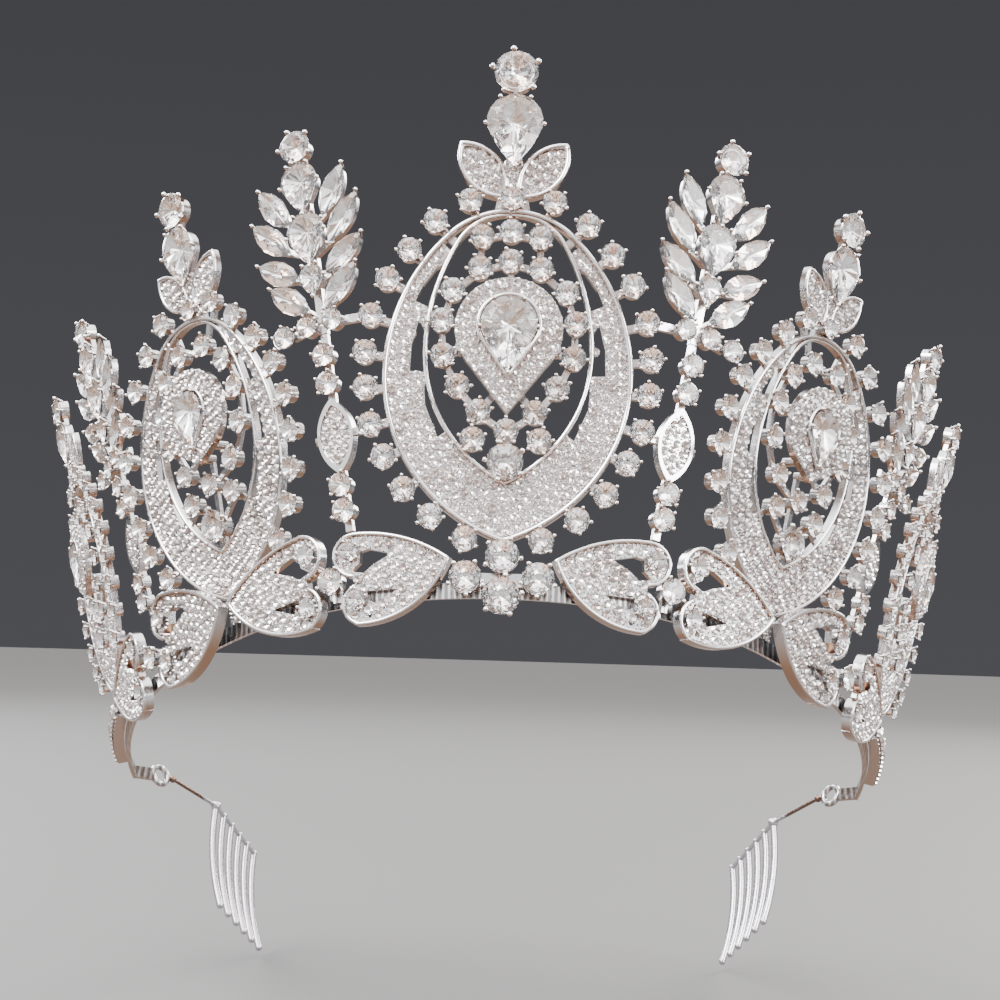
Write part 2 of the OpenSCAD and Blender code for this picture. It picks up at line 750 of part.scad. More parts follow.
at_side(1) inner_stones(1);  // inner_stones_right
at_front() centre_pear(0);  // pear_front
at_side(-1) centre_pear(1);  // pear_left
at_side(1) centre_pear(1);  // pear_right
at_rear(-1) centre_pear(1);  // pear_rear_left
at_rear(1) centre_pear(1);  // pear_rear_right
at_front() crown_pear(0);  // crown_pear_front
at_side(-1) crown_pear(1);  // crown_pear_left
at_side(1) crown_pear(1);  // crown_pear_right
at_rear(-1) crown_pear(1);  // crown_pear_rear_left
at_rear(1) crown_pear(1);  // crown_pear_rear_right
at_front() top_round(0);  // top_stone_front
at_side(-1) top_round(1);  // top_stone_left
at_side(1) top_round(1);  // top_stone_right
at_rear(-1) top_round(1);  // top_stone_rear_left
at_rear(1) top_round(1);  // top_stone_rear_right
at_spray(-1) spray_stones();  // spray_stones_left
at_spray(1) spray_stones();  // spray_stones_right
at_rear_spray(-1) spray_stones();  // spray_stones_rear_left
at_rear_spray(1) spray_stones();  // spray_stones_rear_right
worn() at_oval(0, lean_front, 0) cluster_stones();
worn() for (m = [0, 1]) mirror([m, 0, 0]) {  // link_stones
  at_oval(spray_place, lean_front, 0) link_stone();
  at_oval(link_place, lean_front, 0) link_stone();
}
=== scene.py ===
"""Crystal tiara: cut stones, claws, pavé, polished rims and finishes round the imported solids.

Every place is read off the solids of the frame, so the small pieces sit where their seats are.
"""

import math

import bpy
import numpy as np
from mathutils import Matrix, Vector
from mathutils.kdtree import KDTree


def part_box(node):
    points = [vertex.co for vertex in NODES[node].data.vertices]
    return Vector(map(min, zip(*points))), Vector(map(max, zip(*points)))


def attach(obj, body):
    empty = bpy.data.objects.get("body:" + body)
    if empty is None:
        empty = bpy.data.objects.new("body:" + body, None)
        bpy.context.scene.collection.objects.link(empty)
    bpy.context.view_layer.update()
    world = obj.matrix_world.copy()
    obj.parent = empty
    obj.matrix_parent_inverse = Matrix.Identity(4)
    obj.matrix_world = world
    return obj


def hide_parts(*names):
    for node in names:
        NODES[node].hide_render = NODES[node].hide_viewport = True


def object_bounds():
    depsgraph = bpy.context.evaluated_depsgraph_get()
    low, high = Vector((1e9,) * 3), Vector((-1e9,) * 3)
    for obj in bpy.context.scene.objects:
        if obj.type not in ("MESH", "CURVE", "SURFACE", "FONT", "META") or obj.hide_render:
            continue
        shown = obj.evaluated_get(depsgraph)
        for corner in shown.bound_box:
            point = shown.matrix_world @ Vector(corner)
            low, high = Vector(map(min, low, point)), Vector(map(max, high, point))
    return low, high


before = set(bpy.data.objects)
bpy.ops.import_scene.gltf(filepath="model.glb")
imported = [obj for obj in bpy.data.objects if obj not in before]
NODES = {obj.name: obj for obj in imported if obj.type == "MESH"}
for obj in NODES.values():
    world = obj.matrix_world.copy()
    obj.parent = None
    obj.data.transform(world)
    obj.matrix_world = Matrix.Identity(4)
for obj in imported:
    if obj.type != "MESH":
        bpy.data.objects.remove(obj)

bl_info = {
    "name": "Crystal tiara",
    "version": (1, 0, 0),
    "blender": (4, 5, 0),
    "location": "View3D > Sidebar > Tiara",
    "description": "Dresses the solids of a rhinestone tiara with stones, claws, pave and plating",
    "category": "Object",
}

MM = 0.001
CAD_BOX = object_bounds()
STONE_NODES = [n for n in NODES if "stone" in n or n.startswith(("pear", "crown_pear"))]
PLATE_NODES = [n for n in NODES if n.startswith(("medallion", "wing", "spray_"))
               and "stones" not in n]
MEDALLIONS = ("front", "left", "right", "rear_left", "rear_right")
MEDALLION_NODES = [n for n in NODES if n.startswith("medallion")]
WINGS = [n for n in NODES if n.startswith("wing")]
PLAIN_METAL = PLATE_NODES + ["cluster_setting", "end_bar_left", "end_bar_right"]

# Reading the solids
MERGE = 4e-6  # points of a solid closer than this are one point
SLIVER = 1e-13  # a triangle's doubled area, in square metres, under which it is left out
LOOKS_OUT = 0.3  # cosine to the outward direction, over which a face counts as a front
ONE_FACE = 0.9995  # cosine between two triangles of one flat face
PLATE_FACE = 3e-6  # smallest face that takes small stones, in square metres
RIM_FACE = 1.5e-6  # smallest face that takes a rim
FAR = 1.0  # farther than any two points of the tiara

# Stones against their plain solids
LONG_CUT = 1.2  # length against width, over which a stone isn't round
EVEN_ENDS = 0.9  # a long stone whose ends reach this much alike is a marquise
ROUND_FULLNESS = 1.07  # a round stone's curve against the corners of its plain solid
MARQUISE_FULLNESS = 1.28
SPRAY_PEAR_FULLNESS = 1.08
SIDE_ROUND_FULLNESS = 1.08

# The cuts
# for each cut: table against a round stone's, crown height factor, reach of the lower halves
CUTS = {"round": (1.0, 0.85, 0.16), "pear": (0.92, 0.8, 0.36), "marquise": (1.0, 0.42, 0.3)}
ROUND_SIDES = 16
MARQUISE_SIDES = 12
MARQUISE_BELLY = 1.07  # its half width against the seat's
PEAR_ARC = 13  # points round the blunt end of a pear
PEAR_BULGE = 0.07  # how far its flanks swell, against the blunt end's radius
GIRDLE = 0.02  # half the height of the girdle against a stone's smallest radius
STAR_OUT = 0.02  # the star corners' reach past halfway between table and girdle
LOW_RING = 0.98  # height of the ring under the girdle against a straight cone
UNEVEN = 0.3  # how unevenly the low ring of a long stone reaches
UNEVEN_STEP = 2.3  # its angle from one corner to the next

# Stones without a plain solid
CROWN_SPAN = 7.7  # crown pear to top stone, and below it the foot stone's drop and set-back
FOOT_DROP = 11.8
FOOT_BACK = 0.3
FOOT_SIZE = 0.55  # against the top stone
ARM_LEVEL = 0.2  # cosine to the stem, under which two stones lie side by side
ARM_REACH = 0.94  # place of the arm's stone, against the gap of the pair beside it
ARM_DROP = 0.13
LOBE_GRID = 0.2 * MM
LOBE_STONE = 1.4 * MM  # largest radius of the round stone in a wing's lobe
LOBE_ENDS = 0.92  # share of a wing's points that lie before its far ends
LOBE_FROM = 0.55  # where its lobes begin, against its length
LOBE_FIT = 1.1  # radius of the stone against its room
LOBE_DEPTHS = (0.5, 0.3, 0.56)  # its pavilion, crown and lift against its radius

# Claws, in radii of their ball where no unit is given
CLAW_OUT = 0.55
CLAW_UP = 0.5
CLAW_STONE = 1.75 * MM  # radius of the stone whose claws have the plain size
CLAW_SIZES = (0.9, 1.75)  # smallest and largest claw on a round stone
LONG_CLAW = 1.2  # size on a pear or a marquise
PEAR_CLAWS = (1.45, 2.6, -2.6, -1.45)  # angles from its point
SQUARE_CLAW = 1.35  # how much heavier the four claws of a square setting are
SQUARE_REACH = 1.04
CLAW_TURN = (0.4, 0.37)  # angle of the first claw, and its step from stone to stone

# Small stones and beads, against the pitch where no unit is given
GRID = 7  # points of the grid to one pitch
ROW_GAP = 0.88
FIRST_ROW = 0.5  # from the edge
PAST_RIDGE = 0.4  # how far past a face's middle line a last row may fall, in row gaps
BY_RIDGE = 0.1  # and how far before the line it is then set
ROW_BAND = 0.16  # grid points this close to a row belong to it
ROW_STEP = 0.97  # least distance along a row
SETTLE_ROUNDS = 14
NARROWEST = {"spray": 0.8, "medallion": 0.36, "wing": 0.36}  # half width of a set face
SMALL_STONE = 0.51
SMALL_ROOM = 0.48  # radius that a small stone keeps free of beads
SMALL_SIZES = (0.86, 1.06)
SMALL_LIFT = 0.16 * MM
SMALL_TILT = 0.16  # in radians
GRAIN = 0.17 * MM
GRAIN_LIFT = 0.12 * MM
GRAIN_GAP = 0.42  # least distance between beads
GRAIN_ROOM = (0.06, 0.1)  # least distances from a stone and from the edge
FIRST_SEED = 3

# Band and comb
TIE_WIRE = 5.2 * MM  # how far the dark wire reaches in from the comb's outer end

# Rims
RIM_WIDTHS = (0.2 * MM, 0.75 * MM)
SHORTEST_RIM = 12 * MM
RIM_STEP = 0.5 * MM
RIM_SINK = 0.1 * MM
RIM_OVER = 0.05 * MM  # how far the wire reaches past the rim
RIM_HEIGHT = 0.85  # height of its section against its width

# Rows on the end bars, in millimetres
END_ROW = (88.6, 109.5, 2.02)  # from and to along the oval, and the pitch
END_DROP = 3.75
END_OUT = 1.9
END_STONE = 1.02
END_BEAD = 0.34
END_BEAD_AT = (1.01, 0.85)  # along and up from each stone
END_TILT = 0.05
END_SEED = 9

# Stage, in metres, and its light in watts
FLOOR_GAP = 1.2 * MM
FLOOR_RADIUS = 4.0
FLOOR_SIDES = 64
# distances over which the floor is painted darker: a painted falloff of light away from the middle
FLOOR_FADE = (0.5, 2.2)
AIM = (0, -0.03, 0.04)
LIGHTS = (  # name, place, width, height, power, colour
    ("key", (-0.55, -0.75, 1.0), 0.9, 0.7, 48, (1.0, 0.985, 0.96)),
    ("fill", (0.9, -0.6, 0.45), 0.4, 0.7, 16, (0.96, 0.97, 1.0)),
    ("rim left", (-0.6, 0.75, 0.6), 0.4, 0.6, 14, (0.93, 0.95, 1.0)),
    ("rim right", (0.6, 0.75, 0.55), 0.4, 0.6, 14, (1.0, 0.97, 0.94)),
)
SKY = (  # place from nadir to zenith, and colour: a bright ring, a warm dusk and a top light
    (0.59, (1.0, 0.99, 1.01)), (0.69, (1.3, 1.29, 1.31)), (0.75, (0.34, 0.22, 0.16)),
    (0.82, (0.14, 0.1, 0.08)), (0.88, (2.6, 2.59, 2.58)),
)
SKY_STRENGTH = 1.8

# Camera as in the photograph, in metres and radians
CAMERA_PLACE = (-0.00001, -0.32856, 0.02474)
CAMERA_YAW, CAMERA_PITCH, CAMERA_ROLL = (math.radians(a) for a in (-0.12, 4.25, 1.71))
CAMERA_LENS = 65.26


# Reading the solids

def node_mesh(name):
    """Points of a plain solid with doubles merged, and its triangles."""
    mesh = NODES[name].data
    mesh.calc_loop_triangles()
    points = np.empty(len(mesh.vertices) * 3)
    mesh.vertices.foreach_get("co", points)
    corners = np.empty(len(mesh.loop_triangles) * 3, int)
    mesh.loop_triangles.foreach_get("vertices", corners)
    grid, same = np.unique(np.round(points.reshape(-1, 3) / MERGE), axis=0,
                           return_inverse=True)
    tri = same.ravel()[corners].reshape(-1, 3)
    whole = (tri[:, 0] != tri[:, 1]) & (tri[:, 1] != tri[:, 2]) & (tri[:, 2] != tri[:, 0])
    return grid * MERGE, tri[whole]


def part_labels(count, tri):
    """A number for each point that is the same all over one connected part."""
    label = np.arange(count)
    while True:
        low = label.copy()
        np.minimum.at(low, tri, label[tri].min(axis=1)[:, None])
        low = low[low]
        if np.array_equal(low, label):
            return label
        label = low


def unit(vector):
    return vector / np.linalg.norm(vector)


class Seat:
    """Where one stone sits and its sizes, read off its plain cut solid."""

    def __init__(self, points):
        corners = (len(points) - 1) // 2
        middle = points.mean(axis=0)
        facing = np.linalg.svd(points - middle)[2][2]
        high = (points - middle) @ facing
        if high.max() > -high.min():
            facing, high = -facing, -high
        order = np.argsort(high)
        culet = points[order[0]]
        girdle = points[order[1:corners + 1]]
        table = points[order[-corners:]]
        plane = np.linalg.svd(table - table.mean(axis=0))[2][2]
        self.facing = plane * np.sign(plane @ facing)
        self.pavilion = ((girdle - culet) @ self.facing).mean()
        self.middle = culet + self.facing * self.pavilion
        self.crown = ((table - self.middle) @ self.facing).mean()
        spokes = girdle - self.middle
        reach = np.linalg.norm(spokes, axis=1)
        self.tip = unit(spokes[reach.argmax()])
        self.side = np.cross(self.facing, self.tip)
        self.length = reach.max()
        self.width = np.abs(spokes @ self.side).max()
        self.round_end = -(spokes @ self.tip).min()
        if self.length < LONG_CUT * self.width:
            self.cut = "round"
            self.length *= ROUND_FULLNESS
        elif self.round_end > EVEN_ENDS * self.length:
            self.cut = "marquise"
            self.width *= MARQUISE_FULLNESS
        else:
            self.cut = "pear"

    def moved(self, turn, scale, origin, target):
        """The same stone on another panel, whose frame differs by turn, scale and place."""
        copy = Seat.__new__(Seat)
        copy.cut = self.cut
        for name in ("facing", "tip", "side"):
            setattr(copy, name, turn @ getattr(self, name))
        for name in ("crown", "pavilion", "length", "width", "round_end"):
            setattr(copy, name, getattr(self, name) * scale)
        copy.middle = target + scale * (turn @ (self.middle - origin))
        return copy


def seats_of(name):
    points, tri = node_mesh(name)
    label = part_labels(len(points), tri)
    return [Seat(points[label == k]) for k in np.unique(label[tri])]


def panel_frame(place):
    """Origin, axes and size of a medallion, from its large pear and its top stone."""
    pear, top = seats_of("pear_" + place)[0], seats_of("top_stone_" + place)[0]
    up = top.middle - pear.middle
    size = np.linalg.norm(up)
    up = unit(up - pear.facing * (up @ pear.facing))
    return pear.middle, np.array([np.cross(up, pear.facing), up, pear.facing]).T, size


def rear_seats(side):
    """Small round stones of a rear medallion, which repeats the medallion before it."""
    origin, axes, size = panel_frame(side)
    target, rear_axes, rear_size = panel_frame("rear_" + side)
    near = seats_of("ring_stones_" + side) + seats_of("inner_stones_" + side)
    return [s.moved(rear_axes @ axes.T, rear_size / size, origin, target) for s in near]


def crown_foot(place):
    """The round stone in the cup under the two leaves of a medallion's crown."""
    pear, top = seats_of("crown_pear_" + place)[0], seats_of("top_stone_" + place)[0]
    up = top.middle - pear.middle
    one = np.linalg.norm(up) / CROWN_SPAN
    foot = pear.middle - up * FOOT_DROP / CROWN_SPAN - pear.facing * FOOT_BACK * one
    return top.moved(np.eye(3), FOOT_SIZE, top.middle, foot)


def arm_seat(name):
    """The round stone at the end of the arm beside a spray's lowest leaves."""
    rounds = [seat for seat in seats_of(name) if seat.cut == "round"]
    rounds.sort(key=lambda seat: seat.middle[2])
    stem = unit(rounds[-1].middle - rounds[0].middle)
    pairs = [(inner, outer) for inner in rounds for outer in rounds if inner is not outer
             and abs(unit(outer.middle - inner.middle) @ stem) < ARM_LEVEL]
    inner, outer = max(pairs, key=lambda pair: abs(pair[1].middle[0]) + pair[1].middle[1])
    gap = outer.middle - inner.middle
    reach = gap * ARM_REACH - stem * ARM_DROP * np.linalg.norm(gap)
    return outer.moved(np.eye(3), 1.0, outer.middle, outer.middle + reach)


def cut_seats(name):
    """The seats of one group of stones, those of the sprays and sides a little fuller."""
    seats = seats_of(name)
    if name.startswith(("ring_stones", "inner_stones")) and not name.endswith("front"):
        for seat in seats:
            seat.length *= SIDE_ROUND_FULLNESS
    if name.startswith("spray_stones"):
        for seat in seats:
            if seat.cut == "pear":
                seat.length *= SPRAY_PEAR_FULLNESS
                seat.width *= SPRAY_PEAR_FULLNESS
                seat.round_end *= SPRAY_PEAR_FULLNESS
        highest = max(seats, key=lambda seat: seat.middle[2])
        highest.length *= SPRAY_PEAR_FULLNESS
    return seats


# Flat faces of the cast plates

class Flat:
    """One flat face that looks outward, with the distance to its edge at close points."""

    def __init__(self, points, tri, facing):
        self.facing = facing
        self.across = unit(np.cross([0, 0, 1], facing))
        self.up = np.cross(facing, self.across)
        self.level = points[tri[0, 0]] @ facing
        basis = np.array([self.across, self.up]).T
        edges = np.sort(np.vstack([tri[:, [0, 1]], tri[:, [1, 2]], tri[:, [2, 0]]]), axis=1)
        pairs, used = np.unique(edges, axis=0, return_counts=True)
        self.border = points[pairs[used == 1]] @ basis
        self.corners = points[tri] @ basis
        lengths = np.linalg.norm(self.border[:, 1] - self.border[:, 0], axis=1)
        self.rim_length = lengths.sum()
        double = np.cross(self.corners[:, 1] - self.corners[:, 0],
                          self.corners[:, 2] - self.corners[:, 0])
        self.area = np.abs(double).sum() / 2
        self.border_ids = pairs[used == 1]
        self.points = points

    def near_width(self):
        """Mean width of a face that is a long strip."""
        return 2 * self.area / self.rim_length

    def fill(self, step):
        """Grid points inside the face and their distance to its edge."""
        found = []
        for a, b, c in self.corners:
            low = np.floor(np.minimum(np.minimum(a, b), c) / step)
            high = np.ceil(np.maximum(np.maximum(a, b), c) / step)
            grid = np.stack(np.meshgrid(np.arange(low[0], high[0] + 1),
                                        np.arange(low[1], high[1] + 1)), -1).reshape(-1, 2)
            p = grid * step
            signs = [np.cross(e - s, p - s) for s, e in ((a, b), (b, c), (c, a))]
            inside = (np.min(signs, axis=0) >= 0) | (np.max(signs, axis=0) <= 0)
            found.append(grid[inside])
        grid = np.unique(np.vstack(found), axis=0) * step
        samples = []
        for s, e in self.border:
            count = max(1, int(math.ceil(np.linalg.norm(e - s) / step)))
            samples.append(s + (e - s) * (np.arange(count) / count)[:, None])
        samples = np.vstack(samples)
        tree = KDTree(len(samples))
        for i, p in enumerate(samples):
            tree.insert((p[0], p[1], 0), i)
        tree.balance()
        gap = np.array([tree.find((p[0], p[1], 0))[2] for p in grid])
        return grid, gap

    def place(self, flat_point, lift):
        """A point of the face's own plane in the frame, lift above the face."""
        return (self.across * flat_point[0] + self.up * flat_point[1]
                + self.facing * (self.level + lift))


def flats_of(name, smallest):
    """Outward flat faces of a node whose area is over the smallest."""
    points, tri = node_mesh(name)
    corner = points[tri]
    cross = np.cross(corner[:, 1] - corner[:, 0], corner[:, 2] - corner[:, 0])
    area = np.linalg.norm(cross, axis=1)
    real = area > SLIVER
    tri, cross, area = tri[real], cross[real], area[real]
    normal = cross / area[:, None]
    outward = unit(np.append(points[tri].mean(axis=(0, 1))[:2], 0))
    ahead = normal @ outward > LOOKS_OUT
    which = np.unique(np.round(normal[ahead], 2), axis=0, return_inverse=True)[1].ravel()
    total = np.bincount(which, weights=area[ahead])
    facing = unit(normal[ahead][which == total.argmax()].mean(axis=0))
    tri = tri[normal @ facing > ONE_FACE]
    label = part_labels(len(points), tri)[tri[:, 0]]
    faces = [Flat(points, tri[label == k], facing) for k in np.unique(label)]
    return [f for f in faces if f.area > smallest]


def lobe_seats(name):
    """The larger round stone in each of a wing's two lobes."""
    flat = max(flats_of(name, PLATE_FACE), key=lambda face: face.area)
    grid, gap = flat.fill(LOBE_GRID)
    away = grid - grid.mean(axis=0)
    axes = np.linalg.eigh(away.T @ away)[1]
    along, aside = away @ axes[:, 1], away @ axes[:, 0]
    spread = [np.ptp(aside[side * along > np.quantile(side * along, LOBE_ENDS)])
              for side in (1, -1)]
    along *= 1 if spread[0] > spread[1] else -1
    lobes = along > LOBE_FROM * along.max()
    seats = []
    for half in (aside > 0, aside < 0):
        widest = np.where(lobes & half, gap, 0).argmax()
        radius = min(LOBE_FIT * gap[widest], LOBE_STONE)
        seat = seats_of("link_stones")[0]
        seat.facing, seat.tip, seat.side = flat.facing, flat.across, flat.up
        seat.length = seat.width = seat.round_end = radius
        seat.pavilion, seat.crown, lift = (part * radius for part in LOBE_DEPTHS)
        seat.middle = flat.place(grid[widest], lift)
        seats.append(seat)
    return seats


def added_seats():
    """Seats of the stones that have no plain solid, by the name of their piece."""
    added = {"small_stones_rear_" + side: rear_seats(side) for side in ("left", "right")}
    added["crown_foot_stones"] = [crown_foot(place) for place in MEDALLIONS]
    added["arm_stones"] = [arm_seat("spray_stones_" + place) for place in MEDALLIONS[1:]]
    added["lobe_stones"] = [seat for wing in WINGS for seat in lobe_seats(wing)]
    return added


def row_starts(grid, gap, pitch):
    """Points in rows that follow the edge, each row walked along by itself."""
    starts = []
    row = pitch * ROW_GAP
    deepest = gap.max()
    depth = pitch * FIRST_ROW
    while depth < deepest + row * PAST_RIDGE:
        level = min(depth, deepest - BY_RIDGE * pitch)
        left = grid[np.abs(gap - level) < pitch * ROW_BAND]
        here = left[0] if len(left) else None
        while len(left):
            here = left[np.linalg.norm(left - here, axis=1).argmin()]
            starts.append(here)
            left = left[np.linalg.norm(left - here, axis=1) >= pitch * ROW_STEP]
        depth += row
    return np.array(starts)


def settle(places, grid, rounds):
    """Moves close-set places apart until each has an even share of the face."""
    batch = 4000
    for _ in range(rounds):
        nearest = np.empty(len(grid), int)
        for start in range(0, len(grid), batch):
            part = grid[start:start + batch]
            apart = ((part[:, None, :] - places[None, :, :]) ** 2).sum(axis=2)
            nearest[start:start + batch] = apart.argmin(axis=1)
        share = np.bincount(nearest, minlength=len(places))
        places = places[share > 0] if (share == 0).any() else np.stack(
            [np.bincount(nearest, weights=grid[:, k]) / share for k in (0, 1)], 1)
    return places


# Meshes

def new_piece(name, points, faces, finishes, smooth=False, kinds=None):
    """An object at the origin with its mesh and finishes."""
    mesh = bpy.data.meshes.new(name)
    mesh.from_pydata([tuple(p) for p in points], [], faces)
    for finish in finishes:
        mesh.materials.append(finish)
    if kinds is not None:
        mesh.polygons.foreach_set("material_index", kinds)
    mesh.polygons.foreach_set("use_smooth", [smooth] * len(mesh.polygons))
    mesh.update()
    piece = bpy.data.objects.new(name, mesh)
    bpy.context.scene.collection.objects.link(piece)
    return piece


def hang(piece):
    """Fastens a finished piece to the tiara."""
    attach(piece, "root")


def outline_of(seat):
    """The girdle outline of a stone, x toward its point."""
    if seat.cut == "round":
        turn = np.arange(ROUND_SIDES) * math.tau / ROUND_SIDES
        return seat.length * np.stack([np.cos(turn), np.sin(turn)], 1)
    if seat.cut == "marquise":
        turn = np.arange(MARQUISE_SIDES) * math.tau / MARQUISE_SIDES
        half = seat.width * MARQUISE_BELLY
        radius = (seat.length ** 2 + half ** 2) / (2 * half)
        x = seat.length * np.cos(turn)
        y = np.sqrt(radius ** 2 - x ** 2) - radius + half
        return np.stack([x, np.where(np.sin(turn) < 0, -y, y)], 1)
    r, tip = seat.round_end, np.array([seat.length, 0])
    leave = math.acos(r / seat.length)
    away = np.array([math.cos(leave), math.sin(leave)])
    flank = []
    for t in (0.25, 0.5, 0.75):
        straight = tip * (1 - t) + r * away * t
        flank.append(straight + PEAR_BULGE * r * math.sin(math.pi * t) * away)
    arc = [r * np.array([math.cos(a), math.sin(a)])
           for a in np.linspace(leave, 2 * math.pi - leave, PEAR_ARC)]
    mirrored = [p * [1, -1] for p in reversed(flank)]
    return np.array([tip] + flank + arc + mirrored)


def cut_facets(outline, crown, pavilion, table, star, low_reach):
    """A brilliant cut: table, stars, kites and halves above, and a faceted pavilion."""
    n = len(outline)
    m = n // 2
    band = GIRDLE * np.linalg.norm(outline, axis=1).min()
    cosine = math.cos(math.pi / m)
    star_high = crown * (1 - (star * cosine - table) / (1 - table))
    uneven = 0.0 if n == ROUND_SIDES else UNEVEN
    lively = 1 + uneven * np.cos(np.arange(m) * UNEVEN_STEP)
    layers = [
        (outline[0::2] * table, crown),
        (outline[1::2] * star, star_high),
        (outline, band),
        (outline, -band),
        (outline[1::2] * low_reach * lively[:, None],
         -pavilion * (1 - low_reach * cosine * LOW_RING)),
        (np.zeros((1, 2)), -pavilion),
    ]
    points = np.vstack([np.column_stack([p, np.full(len(p), z)]) for p, z in layers])
    start = np.cumsum([0] + [len(p) for p, z in layers])
    top, mid, upper, lower, deep, culet = (
        lambda i, s=s, c=len(p): s + i % c for s, (p, z) in zip(start, layers))
    faces = [[top(i) for i in range(m)]]
    for k in range(m):
        faces += [
            [top(k), mid(k), top(k + 1)],
            [top(k), mid(k - 1), upper(2 * k), mid(k)],
            [mid(k), upper(2 * k), upper(2 * k + 1)],
            [mid(k), upper(2 * k + 1), upper(2 * k + 2)],
        ]
    faces += [[upper(i), lower(i), lower(i + 1), upper(i + 1)] for i in range(n)]
    clear = len(faces)
    for k in range(m):
        faces += [
            [culet(0), deep(k), lower(2 * k), deep(k - 1)],
            [deep(k), lower(2 * k + 1), lower(2 * k)],
            [deep(k), lower(2 * k + 2), lower(2 * k + 1)],
        ]
    return points, faces, [0] * clear + [1] * (len(faces) - clear)


def stones_mesh(seats, table):
    """One joined mesh of cut stones."""
    points, faces, kinds = [], [], []
    for seat in seats:
        wide, high, low_reach = CUTS[seat.cut]
        wide *= table
        local, cut, kind = cut_facets(outline_of(seat), seat.crown * high, seat.pavilion,
                                      wide, (1 + wide) / 2 + STAR_OUT, low_reach)
        axes = np.array([seat.tip, seat.side, seat.facing])
        start = sum(len(p) for p in points)
        points.append(seat.middle + local @ axes)
        faces += [[start + i for i in face] for face in cut]
        kinds += kind
    return np.vstack(points), faces, kinds


def lathe(profile, sides):
    """A turned shape from (radius, height, sideways shift) rows, closed at both ends."""
    points, faces = [], []
    for radius, high, aside in profile:
        for k in range(sides):
            turn = math.tau * k / sides
            points.append((radius * math.cos(turn) + aside, radius * math.sin(turn), high))
    for i in range(len(profile) - 1):
        for k in range(sides):
            a, b = i * sides + k, i * sides + (k + 1) % sides
            faces.append((a, a + sides, b + sides, b))
    last = (len(profile) - 1) * sides
    faces.append(tuple(range(sides)))
    faces.append(tuple(last + k for k in reversed(range(sides))))
    return points, faces


def tube(path, radius, facing, flat, sides=8):
    """A closed wire along a ring of points, its section squashed along the facing."""
    path = np.asarray(path)
    ahead = np.roll(path, -1, axis=0) - np.roll(path, 1, axis=0)
    ahead /= np.linalg.norm(ahead, axis=1)[:, None]
    aside = np.cross(facing, ahead)
    count = len(path)
    turn = 2 * math.pi * np.arange(sides) / sides
    rings = (path[:, None, :] + radius * np.cos(turn)[None, :, None] * aside[:, None, :]
             + flat * radius * np.sin(turn)[None, :, None] * facing)
    faces = []
    for i in range(count):
        for k in range(sides):
            a, b = i * sides, ((i + 1) % count) * sides
            q = (k + 1) % sides
            faces.append((a + k, b + k, b + q, a + q))
    return rings.reshape(-1, 3), faces


# Finishes

class Value:
    """A socket of a tree, on which the signs of arithmetic add Math nodes."""

    def __init__(self, owner, socket):
        self.owner = owner
        self.socket = socket

    def _math(self, operation, first, second):
        return self.owner.add("ShaderNodeMath", {"operation": operation},
                              {0: first, 1: second})

    def __add__(self, other):
        return self._math("ADD", self, other)

    def __sub__(self, other):
        return self._math("SUBTRACT", self, other)

    def __rsub__(self, other):
        return self._math("SUBTRACT", other, self)

    def __mul__(self, other):
        return self._math("MULTIPLY", self, other)

    __radd__ = __add__
    __rmul__ = __mul__


class Wiring:
    """Adds nodes to a shader or geometry tree."""

    def __init__(self, tree):
        self.tree = tree

    def socket(self, sockets, key):
        if isinstance(key, int):
            return sockets[key]
        return next(s for s in sockets if s.name == key and s.enabled)

    def add(self, kind, settings=None, sockets=None, out=None):
        """One node: its type, its settings, its sockets' values or links, its output."""
        node = self.tree.nodes.new(kind)
        for name, value in (settings or {}).items():
            if name == "stops":
                ramp = node.color_ramp.elements
                while len(ramp) < len(value):
                    ramp.new(0.5)
                for stop, (place, colour) in zip(ramp, value):
                    stop.position = place
                    stop.color = (*colour, 1)
            else:
                setattr(node, name, value)
        for key, value in (sockets or {}).items():
            target = self.socket(node.inputs, key)
            if isinstance(value, Value):
                self.tree.links.new(value.socket, target)
            else:
                target.default_value = value
        if not node.outputs:
            return node
        found = next(s for s in node.outputs if s.enabled) if out is None \
            else self.socket(node.outputs, out)
        return Value(self, found)

    def where(self):
        return self.add("ShaderNodeTexCoord", out="Object")

    def upward(self):
        """How far the surface faces up, from -1 to 1."""
        normal = self.add("ShaderNodeNewGeometry", out="Normal")
        return self.add("ShaderNodeSeparateXYZ", {}, {0: normal}, out="Z")

    def noise(self, scale, detail=2.0):
        return self.add("ShaderNodeTexNoise", {},
                        {"Vector": self.where(), "Scale": scale, "Detail": detail}, out="Fac")

    def mix(self, amount, first, second):
        return self.add("ShaderNodeMix", {"data_type": "RGBA"},
                        {"Factor": amount, 6: first, 7: second}, out="Result")

    def ramp(self, value, low, high, to_low=0.0, to_high=1.0):
        return self.add("ShaderNodeMapRange", {},
                        {"Value": value, 1: low, 2: high, 3: to_low, 4: to_high})


def new_finish(name):
    finish = bpy.data.materials.new(name)
    finish.use_nodes = True
    finish.node_tree.nodes.clear()
    return finish, Wiring(finish.node_tree)


def close_finish(wiring, sockets):
    shader = wiring.add("ShaderNodeBsdfPrincipled", {}, sockets)
    wiring.add("ShaderNodeOutputMaterial", {}, {"Surface": shader})


def rgba(colour):
    return (*colour, 1)


